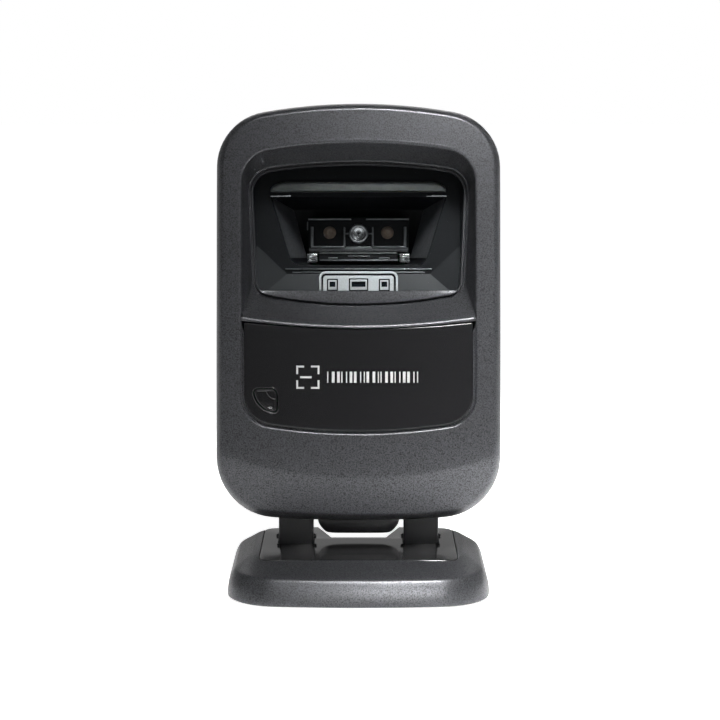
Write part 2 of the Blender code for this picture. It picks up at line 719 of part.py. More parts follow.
def trigger():
    """Press button in the cover panel with its spring, tact switch and small board."""
    corner_x, corner_z = TRIGGER_CORNER
    x, z = corner_x - TRIGGER_STEM, corner_z - TRIGGER_STEM
    button = crowned_plate("trigger_button", "gloss_black", trigger_outline(0), 0.0, 3.0, shares=(0.5,))
    join(
        button,
        crowned_plate("button_flange", None, trigger_outline(0.7), 2.45, 3.3, shares=(0.5,)),
        cylinder("button_stem", None, head, "y", (x, 3.0, z), 1.0, 3.0, PILOT_SIDES),
    )
    centre = (corner_x - 0.3, corner_z - 0.3)
    for i, (inner, outer) in enumerate(((1.7, 3.3), (4.2, 5.8))):
        band = arc(centre, inner, 192, 258, 5) + arc(centre, outer, 258, 192, 5)
        cut(button, crowned_plate(f"button_groove_{i}", None, band, -2, 0.6, shares=()))

    trigger_spring((x, 0, z))
    cylinder("trigger_switch", "satin_black", head, "y", (x, 7.0, z), 1.8, 1.2, SMALL_SIDES)
    box("trigger_board", "circuit_green", head, (x - 6, 8.5, z - 6.5), (x + 6, 9.7, z + 6.5))


def trigger_spring(at):
    """Coil spring round the stem, from the flange of the button to the board."""
    turns, per_turn, radius = 4, 10, 2.3
    start, end = 5.1, 7.9
    curve = bpy.data.curves.new("trigger_spring", "CURVE")
    curve.dimensions = "3D"
    curve.bevel_depth = 0.2 * MM
    curve.bevel_resolution = 1
    curve.use_fill_caps = True
    spline = curve.splines.new("POLY")
    count = turns * per_turn
    spline.points.add(count)
    for i, point in enumerate(spline.points):
        angle = 2 * math.pi * i / per_turn
        y = start + (end - start) * i / count
        point.co = (radius * math.cos(angle) * MM, y * MM, radius * math.sin(angle) * MM, 1)
    add("trigger_spring", curve, "steel", head, at)


def front_cover_panel():
    panel = crowned_plate("front_cover_panel", "gloss_black", panel_outline(0), 0.35, 1.8)
    cut(panel, crowned_plate("trigger_hole", None, trigger_outline(GAP), -4, 6, shares=(0.5,)))


# ---------------------------------------------------------------- tilt hinge


def tilt_hinge():
    """Bracket, shaft and retaining parts that ride with the head."""
    bracket = box("tilt_bracket", "steel", head, (-31.7, BRACKET_FRONT, 9.5), (31.7, BRACKET_BACK, 21.6))
    for name, x in (("far_left", -30.1), ("left", -11.1), ("right", 11.1), ("far_right", 30.1)):
        low, high = (x - 1.1, 22.4, 11.5), (x + 1.1, BRACKET_FRONT + 0.6, 20.5)
        join(bracket, box(f"lug_{name}", None, head, low, high))
    bore = SHAFT_RADIUS + 0.1
    cut(bracket, cylinder("lug_bore", None, head, "x", (-40, PIVOT_DEPTH, PIVOT_HEIGHT), bore, 80))
    reach = 33.2
    cylinder("tilt_shaft", "steel", head, "x", (-reach, PIVOT_DEPTH, PIVOT_HEIGHT), SHAFT_RADIUS, 2 * reach)
    for side, clip_start, washer_start in (("left", -32.3, -28.7), ("right", 31.5, 25.3)):
        at = (clip_start, PIVOT_DEPTH, PIVOT_HEIGHT)
        tube(f"shaft_clip_{side}", "steel", head, "x", at, (bore, CLIP_RADIUS), 0.8)
        at = (washer_start, PIVOT_DEPTH, PIVOT_HEIGHT)
        tube(f"friction_washer_{side}", "steel", head, "x", at, (bore, WASHER_RADIUS), 3.4)


def leg(side, sign):
    """Leg drawn from the side: a toe clamped in the foot, a stem, and an eye round the tilt shaft."""
    eye = (PIVOT_WORLD[1], PIVOT_WORLD[2])
    base = (LEG_FRONT + LEG_THICKNESS / 2, FOOT_TOP)
    direction = Vector((eye[0] - base[0], eye[1] - base[1])).normalized()
    across = Vector((direction[1], -direction[0])) * LEG_THICKNESS / 2
    rise = math.degrees(math.atan2(direction[1], direction[0]))
    spread = math.degrees(math.asin(LEG_THICKNESS / 2 / EYE_RADIUS))
    head_arc = arc(eye, EYE_RADIUS, rise - 180 + spread, rise + 180 - spread, 18)
    body = [
        (LEG_FRONT, TOE_LOW),
        (TOE_BACK, TOE_LOW),
        (TOE_BACK, TOE_TOP),
        (LEG_FRONT + LEG_THICKNESS, TOE_TOP),
        (base[0] + across[0], base[1]),
        *head_arc,
        (base[0] - across[0], base[1]),
    ]
    pin_at = (base[0] + 0.3, PIN_HEIGHT)
    holes = [circle(eye, EYE_BORE, ROUND_SIDES), circle(pin_at, PIN_RADIUS + 0.1, SMALL_SIDES)]
    at = (sign * LEG_OFFSET, 0, 0)
    flat_outline(f"{side}_leg", "gloss_black", stand, [body, *holes], LEG_WIDTH, at, SIDE_ON)
    start = sign * LEG_OFFSET - LEG_WIDTH / 2
    at = (start + GAP, eye[0], eye[1])
    length = LEG_WIDTH - 2 * GAP
    tube(f"{side}_pivot_bush", "nylon_white", stand, "x", at, (BUSH_BORE, BUSH_RADIUS), length)
    at = (start - PIN_PROUD, *pin_at)
    length = LEG_WIDTH + 2 * PIN_PROUD
    cylinder(f"{side}_leg_pin", "satin_black", stand, "x", at, PIN_RADIUS, length, SMALL_SIDES)


# ---------------------------------------------------------------- foot


def foot_plan(side, front, back, corner, steps=(3, 4)):
    half, low, high = FOOT_HALF_WIDTH - side, FOOT_FRONT + front, FOOT_BACK - back
    return outline(half, low, high, (230, 230), (corner, corner), steps)


def level_ring(points, height):
    return [(x, y, height) for x, y in points]


def inlay_plan(grow):
    half, low, high = INLAY_HALF_WIDTH + grow, INLAY_FRONT - grow, INLAY_BACK + grow
    return outline(half, low, high, (900, 900), (3 + grow, 3 + grow), (2, 3))


def leg_windows(name, low, high, slack):
    """Cutters for the two rectangular ways that the legs take through the top of the foot."""
    made = []
    half = LEG_WIDTH / 2 + slack
    front, back = LEG_FRONT - 0.2 - slack, LEG_FRONT + LEG_THICKNESS + 0.4 + slack
    for side, x in (("left", -LEG_OFFSET), ("right", LEG_OFFSET)):
        made.append(box(f"{name}_{side}", None, stand, (x - half, front, low), (x + half, back, high)))
    return made


def base_housing():
    rings = [level_ring(foot_plan(*section[1:]), section[0]) for section in FOOT_SECTIONS]
    shell = loft("base_housing", "textured_grey", stand, rings)
    inner = (
        (0.0, 2.4, 2.6, 2.4, 14.5),
        (4.4, 2.9, 3.6, 2.9, 14.0),
        (6.8, 5.0, 7.5, 5.0, 12.0),
        (8.0, 8.0, 13.0, 8.0, 9.0),
    )
    hollow = loft("base_hollow", None, stand, [level_ring(foot_plan(*s[1:]), s[0]) for s in inner])
    plan = inlay_plan(0.2)
    rings = [level_ring(plan, INLAY_LOW - GAP), level_ring(plan, FOOT_TOP + 3)]
    seat = loft("inlay_seat", None, stand, rings)
    channel = box("base_channel", None, stand, (-9.9, 15, 9.0), (9.9, 40, 16))
    cut(shell, hollow, seat, channel, *leg_windows("base_window", 5, 12, 2 * GAP))


def base_inlay():
    """Gloss plate let into the top of the foot, with a cable channel that falls away to the rear."""
    plan = inlay_plan(0)
    rings = [level_ring(plan, INLAY_LOW), level_ring(plan, FOOT_TOP)]
    inlay = loft("base_inlay", "gloss_black", stand, rings)
    for side, x in (("left", -18.3), ("right", 18.3)):
        join(inlay, box(f"ear_{side}", None, stand, (x - 6.7, 8.0, 10.2), (x + 6.7, 19.6, 11.9), bevel=0.5))
    wide, high, fall = 9.6, FOOT_TOP + 4, 1.3
    rings = []
    for y, floor in ((1, FOOT_TOP + 0.4), (24, FOOT_TOP - fall)):
        rings.append([(-wide, y, floor), (wide, y, floor), (wide + 4, y, high), (-wide - 4, y, high)])
    cut(inlay, loft("inlay_channel", None, stand, rings), *leg_windows("inlay_window", 5, 14, GAP))


def base_internals():
    plan = foot_plan(5.5, 6.5, 5.5, 12, (2, 3))
    weight = loft("base_weight", "steel", stand, [level_ring(plan, 3.1), level_ring(plan, 5.6)])
    plan = foot_plan(3.2, 3.7, 3.2, 13.7)
    rings = [level_ring(plan, FOOT_UNDERSIDE), level_ring(plan, 2.8)]
    cover = loft("base_bottom_cover", "satin_black", stand, rings)
    for spot, (x, y) in PAD_SPOTS.items():
        cut(cover, cylinder(f"pad_seat_{spot}", None, stand, "z", (x, y, -1), PAD_RADIUS + GAP, 2.6))
        profile = [(0, 0), (PAD_RADIUS - 0.5, 0), (PAD_RADIUS, 0.4), (PAD_RADIUS, 1.3), (0, 1.3)]
        turned(f"rubber_foot_{spot}", "rubber_black", stand, "z", (x, y, 0), profile)
    for end, y in (("front", -24), ("rear", 12)):
        clear = cylinder(f"screw_way_{end}", None, stand, "z", (0, y, -1), PILOT_RADIUS, 10, SMALL_SIDES)
        seat = cylinder(f"screw_seat_{end}", None, stand, "z", (0, y, -1), 2.9, 3.0, SMALL_SIDES)
        cut(cover, clear, seat)
        cut(weight, clear)
        profile = [(0, 1.9), (0.8, 1.9), (1.0, 0.9), (2.0, 0.9), (2.6, 1.2), (2.6, 1.7)]
        profile += [(1.2, 1.7), (1.2, 7.4), (0, 7.4)]
        turned(f"base_screw_{end}", "steel", stand, "z", (0, y, 0), profile, SMALL_SIDES)


def main():
    start_scene()
    front_bezel()
    rear_housing()
    housing_screws()
    window_parts()
    engine_bay()
    illumination_module()
    imager()
    electronics()
    host_port()
    front_cover_panel()
    trigger()
    tilt_hinge()
    rating_label()
    for side, sign in (("left", -1), ("right", 1)):
        leg(side, sign)
    base_housing()
    base_inlay()
    base_internals()


main()
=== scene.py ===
"""Looks of the presentation barcode scanner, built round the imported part.

Shapes are drawn in millimetres, in the drawing frame of their body: the head's own upright frame (x across,
y inwards from the crown of the face, z up from the chin) or the stand's, which is the row frame.
"""

import json
import math

import bmesh
import bpy
from mathutils import Matrix, Vector


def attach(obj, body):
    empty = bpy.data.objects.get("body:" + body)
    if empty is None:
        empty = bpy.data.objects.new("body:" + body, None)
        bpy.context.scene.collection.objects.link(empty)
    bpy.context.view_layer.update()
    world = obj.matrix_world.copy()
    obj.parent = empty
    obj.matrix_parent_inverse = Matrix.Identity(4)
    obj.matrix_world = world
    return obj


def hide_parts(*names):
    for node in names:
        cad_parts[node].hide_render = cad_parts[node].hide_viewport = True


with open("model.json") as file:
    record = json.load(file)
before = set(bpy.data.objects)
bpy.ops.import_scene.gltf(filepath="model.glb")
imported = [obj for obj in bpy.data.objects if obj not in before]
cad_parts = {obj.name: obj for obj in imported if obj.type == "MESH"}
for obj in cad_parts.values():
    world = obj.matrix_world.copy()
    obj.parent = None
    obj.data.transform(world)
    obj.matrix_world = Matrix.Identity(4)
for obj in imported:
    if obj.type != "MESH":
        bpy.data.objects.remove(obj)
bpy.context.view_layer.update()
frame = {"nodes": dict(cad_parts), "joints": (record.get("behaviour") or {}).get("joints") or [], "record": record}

MM = 0.001
JOINTS = {joint["name"]: joint for joint in frame["joints"]}
PIVOT = Vector(JOINTS["head_tilt"]["pos_m"])
INWARD = Vector(JOINTS["trigger_press"]["axis"])
LEAN = math.atan2(-INWARD.z, INWARD.y)
# Where the pivot lies in the head's drawing frame
PIVOT_DEPTH = 27.0
PIVOT_HEIGHT = 16.0

STAND = Matrix.Scale(MM, 4)
HEAD = (
    Matrix.Translation(PIVOT)
    @ Matrix.Rotation(-LEAN, 4, "X")
    @ Matrix.Scale(MM, 4)
    @ Matrix.Translation((0, -PIVOT_DEPTH, -PIVOT_HEIGHT))
)
PLACE = {"stand": STAND, "head": HEAD, "trigger": HEAD}
SIDES = (("left", -1), ("right", 1))

# Head
HALF_WIDTH = 43.0
HEIGHT = 126.5
CROWN = 170.0
LOW_CROWN = 400.0
RIM_ROUND = 2.4
PARTING = 17.0
REAR = 52.9
RECESS_HALF_WIDTH = 35.9
RECESS_LOW = 25.8
RECESS_TOP = 114.7
LEDGE = 59.3
PANEL_TOP = 57.9
PANEL_HALF_WIDTH = 34.4
PANEL_SAG = 2.0
PANEL_FRONT = 0.4
PANEL_BACK = 1.8
MOUTH_DEPTH = 10.0
LIP_ROUND = 0.75
APERTURE_LOW = 65.0
APERTURE_TOP = 109.7
APERTURE_HALF_WIDTH = 33.0
SILL_TOP = 69.9
PANE_FRONT = 12.5
LENS_HEIGHT = 89.1
TRIGGER_CORNER = (-24.6, 39.8)
TRIGGER_RADIUS = 6.8
TRIGGER_STEM = 2.7
TRIGGER_GAP = 0.28
REAR_WALL = 2.2

# How the face is bowed, and turned under at the chin
FACE_BOW_ACROSS = 1.5
FACE_BOW_UPRIGHT = 1.2
FACE_MIDDLE = 72
FACE_REACH = 54
BROW_START = 92
BROW_CURVE = 1200
CREASE_HEIGHT = 12.5
CREASE_RISE = 6.0
CREASE_REACH = 39
CREASE_KNEE = 0.9
CHIN_ANGLE = 24

# Stage, in metres and degrees
FLOOR_WHITE = 0.87
FLOOR_GLOW = 0.62
ROOM_LIGHT = 0.05
SWEEP_LIGHT = 0.36
CAMERA_ELEVATION = 7.67
CAMERA_DISTANCE = 0.65
CAMERA_TARGET = (0.00045, -0.0015, 0.0684)
CAMERA_LENS = 105.7
CAMERA_SENSOR = 36

# Stand
FOOT_TOP = 11.0
FOOT_HALF_WIDTH = 39.4
FOOT_FRONT = -41.5
FOOT_REAR = 28.5
LEG_OFFSET = 19.4
LEG_WIDTH = 10.8
LEG_THICKNESS = 5.5
LEG_EYE_RADIUS = 6.5


# ---------------------------------------------------------------- materials


class Nodes:
    """Short calls for building one material's node tree."""

    def __init__(self, name):
        self.material = bpy.data.materials.new(name)
        self.material.use_nodes = True
        self.tree = self.material.node_tree
        self.shader = self.tree.nodes["Principled BSDF"]
        self.object_space = self.tree.nodes.new("ShaderNodeTexCoord").outputs["Object"]

    def put(self, socket, value):
        if isinstance(value, bpy.types.NodeSocket):
            self.tree.links.new(value, socket)
        else:
            socket.default_value = value

    def node(self, kind, settings=(), **inputs):
        made = self.tree.nodes.new(kind)
        for name, value in dict(settings).items():
            setattr(made, name, value)
        for name, value in inputs.items():
            self.put(made.inputs[name.replace("_", " ")], value)
        return made

    def noise(self, size, detail, stretch=(1, 1, 1)):
        """Noise whose features are about size millimetres across, drawn out by stretch."""
        squeeze = tuple(1 / s for s in stretch)
        mapping = self.node("ShaderNodeMapping", Vector=self.object_space, Scale=squeeze)
        scale = 1 / (size * MM)
        made = self.node("ShaderNodeTexNoise", Vector=mapping.outputs[0], Scale=scale, Detail=detail)
        return made.outputs["Fac"]

    def span(self, value, low, high, start=0.0, end=1.0):
        made = self.node("ShaderNodeMapRange", Value=value)
        for name, number in (("From Min", low), ("From Max", high), ("To Min", start), ("To Max", end)):
            made.inputs[name].default_value = number
        return made.outputs[0]

    def blend(self, factor, first, second):
        made = self.node("ShaderNodeMix", {"data_type": "RGBA"})
        for socket, value in ((made.inputs[0], factor), (made.inputs[6], first), (made.inputs[7], second)):
            self.put(socket, value)
        return made.outputs[2]

    def bump(self, height, depth):
        made = self.node("ShaderNodeBump", Height=height, Distance=depth * MM, Strength=1.0)
        return made.outputs[0]

    def finish(self, **inputs):
        for name, value in inputs.items():
            self.put(self.shader.inputs[name.replace("_", " ")], value)
        return self.material


def shade(color, factor):
    return (*(min(1.0, c * factor) for c in color), 1)


def grained_plastic(name, color, roughness, metallic, grain, depth, contrast=0.2, sheen=0.5):
    """Moulded plastic with an etched grain that varies in tone, gloss and height, and soft larger clouds."""
    made = Nodes(name)
    cloud = made.noise(14, 4)
    fine = made.noise(grain, 3)
    broad = made.blend(made.span(cloud, 0.3, 0.7), shade(color, 0.93), shade(color, 1.07))
    mottle = made.blend(made.span(fine, 0.32, 0.68), shade(color, 1 - contrast), shade(color, 1 + contrast))
    rough = made.span(fine, 0.3, 0.7, roughness + 0.08, roughness - 0.08)
    return made.finish(
        Base_Color=made.blend(0.75, broad, mottle),
        Roughness=rough,
        Metallic=metallic,
        Specular_IOR_Level=sheen,
        Normal=made.bump(fine, depth),
    )


def gloss_plastic(name, color, roughness=0.09, haze=0.05, coat=0.0, shine=0.5):
    """Polished plastic with a faint orange peel, dust haze and hairline wipe marks."""
    made = Nodes(name)
    peel = made.noise(6, 1)
    wipes = made.noise(0.5, 2, (14, 1, 1))
    dust = made.noise(0.3, 3)
    haze_mask = made.span(wipes, 0.58, 0.8, 0, 1)
    tone = made.blend(made.span(dust, 0.62, 0.8, 0, 0.35), (*color, 1), shade(color, 2.2))
    rough = made.span(haze_mask, 0, 1, roughness, roughness + haze)
    return made.finish(
        Base_Color=tone,
        Roughness=rough,
        Specular_IOR_Level=shine,
        Coat_Weight=coat,
        Coat_Roughness=0.05,
        Normal=made.bump(peel, 0.004),
    )


def brushed_metal(name, color, roughness=0.3, along=(1, 1, 22), metallic=1.0):
    """Metal or metallised plastic with fine brush lines and a little tarnish."""
    made = Nodes(name)
    lines = made.noise(0.25, 3, along)
    stain = made.noise(5, 3)
    tone = made.blend(made.span(stain, 0.35, 0.75), shade(color, 1.1), shade(color, 0.75))
    tone = made.blend(made.span(lines, 0.4, 0.7, 0, 0.35), tone, shade(color, 0.6))
    return made.finish(
        Base_Color=tone,
        Metallic=metallic,
        Roughness=made.span(lines, 0.3, 0.7, roughness - 0.08, roughness + 0.1),
        Normal=made.bump(lines, 0.01),
    )


def clear_pane(name):
    """Thin clear pane: mostly see-through, with a faint cool tint and a polished surface."""
    made = Nodes(name)
    smear = made.noise(9, 3)
    material = made.finish(
        Base_Color=(0.01, 0.012, 0.014, 1),
        Roughness=made.span(smear, 0.4, 0.8, 0.02, 0.06),
        Normal=made.bump(smear, 0.002),
    )
    through = made.node("ShaderNodeBsdfTransparent", Color=(0.86, 0.89, 0.9, 1))
    edge_on = made.node("ShaderNodeFresnel", IOR=1.25)
    mix = made.node("ShaderNodeMixShader")
    for socket, value in zip(mix.inputs, (edge_on.outputs[0], through.outputs[0], made.shader.outputs[0])):
        made.put(socket, value)
    output = next(n for n in made.tree.nodes if n.type == "OUTPUT_MATERIAL")
    made.put(output.inputs["Surface"], mix.outputs[0])
    return material


def frosted(name, color, glow=0.35):
    """Translucent moulded resin: soft light under the surface and a satin skin."""
    made = Nodes(name)
    cloud = made.noise(3, 3)
    tone = made.blend(made.span(cloud, 0.3, 0.7), shade(color, 0.85), shade(color, 1.15))
    return made.finish(
        Base_Color=tone,
        Roughness=made.span(cloud, 0.3, 0.7, 0.28, 0.42),
        Subsurface_Weight=glow,
        Subsurface_Radius=(1.5 * MM, 1.2 * MM, 0.8 * MM),
        Normal=made.bump(made.noise(0.2, 2), 0.006),
    )


def circuit(name, color):
    """Solder mask over faint copper traces."""
    made = Nodes(name)
    traces = made.noise(1.2, 1, (9, 1, 1))
    tone = made.blend(made.span(traces, 0.52, 0.56), (*color, 1), shade(color, 1.8))
    return made.finish(Base_Color=tone, Roughness=0.35, Normal=made.bump(traces, 0.02))


def label_film(name):
    """Blank printed film with rows of plain bars, and no lettering."""
    made = Nodes(name)
    axes = made.node("ShaderNodeSeparateXYZ", Vector=made.object_space)
    rows = made.node("ShaderNodeMath", {"operation": "FRACT"})
    scaled = made.node("ShaderNodeMath", {"operation": "MULTIPLY"})
    made.put(scaled.inputs[0], axes.outputs[2])
    made.put(scaled.inputs[1], 1 / (4.2 * MM))
    made.put(rows.inputs[0], scaled.outputs[0])
    stripes = made.span(rows.outputs[0], 0.62, 0.64)
    paper = made.noise(0.4, 3)
    tone = made.blend(stripes, (0.30, 0.30, 0.31, 1), (0.12, 0.12, 0.125, 1))
    tone = made.blend(made.span(paper, 0.4, 0.7, 0, 0.2), tone, (0.4, 0.4, 0.4, 1))
    return made.finish(Base_Color=tone, Roughness=made.span(paper, 0.3, 0.7, 0.4, 0.55))


LOOKS = {
    "textured_grey": grained_plastic("textured_grey", (0.064, 0.0652, 0.0702), 0.34, 0.6, 0.38, 0.045, 0.85),
    "satin_grey": grained_plastic("satin_grey", (0.07, 0.071, 0.0765), 0.36, 0.5, 0.25, 0.004),
    "satin_black": grained_plastic("satin_black", (0.012, 0.012, 0.0135), 0.46, 0.0, 0.4, 0.02, 0.35),
    "gloss_black": gloss_plastic("gloss_black", (0.011, 0.011, 0.0117)),
    "inlay_black": gloss_plastic("inlay_black", (0.02, 0.02, 0.0205), 0.1, 0.05),
    "leg_black": gloss_plastic("leg_black", (0.012, 0.012, 0.013), 0.34, 0.1, shine=0.3),
    "clear_pane": clear_pane("clear_pane"),
    "diffuser": frosted("diffuser", (0.14, 0.145, 0.137)),
    "engine_black": grained_plastic("engine_black", (0.004, 0.0043, 0.0055), 0.5, 0, 0.3, 0.006, sheen=0.25),
    "engine_metal": brushed_metal("engine_metal", (0.24, 0.245, 0.25), 0.34, (14, 1, 1), 0.85),
    "white_plastic": grained_plastic("white_plastic", (0.62, 0.62, 0.63), 0.38, 0, 0.2, 0.005),
    "lens_glass": gloss_plastic("lens_glass", (0.01, 0.014, 0.02), 0.03, 0.01, coat=1.0),
    "led_amber": frosted("led_amber", (0.3, 0.23, 0.18), 0.5),
    "steel": brushed_metal("steel", (0.55, 0.55, 0.56)),
    "bright_steel": brushed_metal("bright_steel", (0.85, 0.85, 0.86), 0.22, (12, 1, 1)),
    "gold": brushed_metal("gold", (0.75, 0.52, 0.2), 0.25),
    "circuit_green": circuit("circuit_green", (0.012, 0.075, 0.03)),
    "flex_amber": gloss_plastic("flex_amber", (0.38, 0.17, 0.03), 0.3),
    "rubber_black": grained_plastic("rubber_black", (0.016, 0.016, 0.016), 0.8, 0, 0.5, 0.05),
    "nylon_white": grained_plastic("nylon_white", (0.55, 0.55, 0.52), 0.5, 0, 0.3, 0.01),
    "label_grey": label_film("label_grey"),
    "side_panel": brushed_metal("side_panel", (0.12, 0.12, 0.125), 0.42, (1, 1, 16), 0.4),
    "print_white": grained_plastic("print_white", (0.5, 0.5, 0.5), 0.5, 0, 0.2, 0.003),
}


# ---------------------------------------------------------------- mesh helpers


SHARP_EDGE = math.radians(30)


def skin(rings, around=True, cap_first=False, cap_last=False):
    """A mesh of quads through rows of points. around closes each row on itself."""
    edit = bmesh.new()
    rows = [[edit.verts.new(p) for p in ring] for ring in rings]
    count = len(rows[0])
    for first, second in zip(rows, rows[1:]):
        for i in range(count if around else count - 1):
            j = (i + 1) % count
            edit.faces.new((first[i], first[j], second[j], second[i]))
    if cap_first:
        edit.faces.new(rows[0])
    if cap_last:
        edit.faces.new(rows[-1])
    return as_mesh(edit)


def closed(rings):
    """A closed body through rings of points, with both ends capped."""
    return skin(rings, cap_first=True, cap_last=True)


def as_mesh(edit):
    bmesh.ops.recalc_face_normals(edit, faces=edit.faces)
    mesh = bpy.data.meshes.new("shape")
    edit.to_mesh(mesh)
    edit.free()
    return mesh


def joined(*meshes):
    edit = bmesh.new()
    for mesh in meshes:
        edit.from_mesh(mesh)
        bpy.data.meshes.remove(mesh)
    mesh = bpy.data.meshes.new("shape")
    edit.to_mesh(mesh)
    edit.free()
    return mesh


def soften(edit, radius):
    """Rounds every sharp edge."""
    edges = [e for e in edit.edges if len(e.link_faces) == 2 and e.calc_face_angle() > SHARP_EDGE]
    bmesh.ops.bevel(
        edit, geom=edges, offset=radius, segments=3, profile=0.5, affect="EDGES", clamp_overlap=True
    )


def block(low, high, rounding):
    low, high = Vector(low), Vector(high)
    edit = bmesh.new()
    bmesh.ops.create_cube(edit, size=1)
    for vert in edit.verts:
        vert.co = Vector(a * b for a, b in zip(vert.co, high - low)) + (low + high) / 2
    soften(edit, rounding)
    return as_mesh(edit)


def extruded(points, near, far, axis="y", rounding=0.0):
    """A flat outline pushed out along an axis. points are (x, z) for axis y, (y, z) for axis x."""
    place = {"y": lambda u, v, w: (u, w, v), "x": lambda u, v, w: (w, u, v)}[axis]
    edit = bmesh.new()
    first = [edit.verts.new(place(u, v, near)) for u, v in points]
    second = [edit.verts.new(place(u, v, far)) for u, v in points]
    edit.faces.new(first)
    edit.faces.new(list(reversed(second)))
    for i in range(len(points)):
        j = (i + 1) % len(points)
        edit.faces.new((first[j], first[i], second[i], second[j]))
    if rounding:
        bmesh.ops.recalc_face_normals(edit, faces=edit.faces)
        soften(edit, rounding)
    return as_mesh(edit)


def turned(profile, at, axis="y", sides=72):
    """A surface of revolution through (radius, distance) pairs, with its axis through a point."""
    rings = []
    for radius, distance in profile:
        ring = []
        for i in range(sides):
            angle = 2 * math.pi * i / sides
            u, v, w = radius * math.cos(angle), radius * math.sin(angle), distance
            offset = {"x": (w, u, v), "y": (u, w, v)}[axis]
            ring.append(Vector(at) + Vector(offset))
        rings.append(ring)
    return skin(rings, cap_first=profile[0][0] > 0, cap_last=profile[-1][0] > 0)


def carved(mesh, *cutters):
    """Takes cutter shapes out of a closed mesh."""
    body = bpy.data.objects.new("carved", mesh)
    bpy.context.scene.collection.objects.link(body)
    tools = []
    for cutter in cutters:
        tool = bpy.data.objects.new("cutter", cutter)
        bpy.context.scene.collection.objects.link(tool)
        tools.append(tool)
        modifier = body.modifiers.new("cut", "BOOLEAN")
        modifier.operation = "DIFFERENCE"
        modifier.object = tool
    bpy.context.view_layer.update()
    result = bpy.data.meshes.new_from_object(body.evaluated_get(bpy.context.evaluated_depsgraph_get()))
    for obj in (body, *tools):
        bpy.data.objects.remove(obj)
    return result


def piece(name, mesh, body, look, stands_for=(), sharp=32):
    """Shows a mesh as a piece of a body, in that body's drawing frame. Its material is its look."""
    mesh.transform(PLACE[body])
    mesh.shade_smooth()
    mesh.set_sharp_from_angle(angle=math.radians(sharp))
    mesh.materials.clear()
    mesh.materials.append(LOOKS[look])
    obj = bpy.data.objects.new(name, mesh)
    bpy.context.scene.collection.objects.link(obj)
    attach(obj, body)
    if stands_for:
        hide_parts(*stands_for)


# ---------------------------------------------------------------- outlines


def arc(centre, radius, start, end, steps):
    angles = [math.radians(start + (end - start) * i / steps) for i in range(steps + 1)]
    return [(centre[0] + radius * math.cos(a), centre[1] + radius * math.sin(a)) for a in angles]


def quadrant(half_width, crown, corner, crown_steps, corner_steps):
    """From the middle of a bowed end to a straight side: (across, distance in from the end)."""
    across = half_width - corner
    inwards = crown - math.sqrt((crown - corner) ** 2 - across**2)
    meet = math.atan2(across, crown - inwards)
    points = []
    for i in range(crown_steps):
        angle = meet * i / crown_steps
        points.append((crown * math.sin(angle), crown * (1 - math.cos(angle))))
    for i in range(corner_steps + 1):
        angle = meet + (math.pi / 2 - meet) * i / corner_steps
        points.append((across + corner * math.sin(angle), inwards - corner * math.cos(angle)))
    return points


def outline(half_width, low, high, crowns, corners, inset=0.0, steps=(18, 12, 60)):
    """A closed outline with bowed ends and round corners, from the middle of its high end, drawn inset."""
    half = half_width - inset
    low, high = low + inset, high - inset
    low_crown, high_crown = (c - inset for c in crowns)
    low_corner, high_corner = (max(0.05, c - inset) for c in corners)
    top = [(x, high - d) for x, d in quadrant(half, high_crown, high_corner, *steps[:2])]
    bottom = [(x, low + d) for x, d in reversed(quadrant(half, low_crown, low_corner, *steps[:2]))]
    start, end = top[-1][1], bottom[0][1]
    side = [(half, start + (end - start) * i / steps[2]) for i in range(1, steps[2])]
    right = top + side + bottom
    return right + [(-x, z) for x, z in reversed(right[1:-1])]


def head_outline(inset):
    return outline(HALF_WIDTH, 0, HEIGHT, (LOW_CROWN, CROWN), (18, 17), inset)


def recess_outline(inset):
    return outline(RECESS_HALF_WIDTH, RECESS_LOW, RECESS_TOP, (180, 180), (10, 10.5), inset)


def mouth_outline(inset):
    return outline(RECESS_HALF_WIDTH - 0.75, LEDGE, RECESS_TOP - 0.75, (240, 179), (0.9, 9.75), inset)


def aperture_outline(inset):
    """The window's own outline, a little narrower at its foot."""
    points = outline(APERTURE_HALF_WIDTH, APERTURE_LOW, APERTURE_TOP, (150, 175), (5, 8), inset)
    middle = (APERTURE_LOW + APERTURE_TOP) / 2
    return [(x * (1 + 0.03 * (z - middle) / 22.3), z) for x, z in points]


def panel_outline(inset):
    """Front cover panel: its top edge sags in the middle, and its lower corners are round."""
    points = outline(PANEL_HALF_WIDTH, RECESS_LOW + 1.3, PANEL_TOP, (179, 9000), (9, 0.6), inset)
    return [(x, z + PANEL_SAG * (x / PANEL_HALF_WIDTH) ** 2 * smooth(z, 45, PANEL_TOP)) for x, z in points]


def trigger_outline(grow):
    """Quarter disc with rounded corners. Its square corner is at the upper right."""
    x, z = TRIGGER_CORNER
    steps = 12
    small, large, radius = 0.9, 1.7, TRIGGER_RADIUS
    reach = math.sqrt((radius - small) ** 2 - small**2)
    bend = math.degrees(math.asin(small / (radius - small)))
    square = arc((x - large, z - large), large + grow, 0, 90, steps)
    left = arc((x - reach, z - small), small + grow, 90, 180 + bend, steps)
    round_side = arc((x, z), radius + grow, 180 + bend, 270 - bend, 3 * steps)[1:-1]
    low = arc((x - small, z - reach), small + grow, 270 - bend, 360, steps)
    return square + left + round_side + low


def smooth(value, low, high):
    share = min(1.0, max(0.0, (value - low) / (high - low)))
    return share * share * (3 - 2 * share)


def mix_points(first, second, share):
    return [tuple(a + (b - a) * share for a, b in zip(p, q)) for p, q in zip(first, second)]


def shrunk(points, share):
    """An outline drawn smaller about its own middle."""
    cx = (min(p[0] for p in points) + max(p[0] for p in points)) / 2
    cz = (min(p[1] for p in points) + max(p[1] for p in points)) / 2
    return [(cx + (x - cx) * share, cz + (z - cz) * share) for x, z in points]


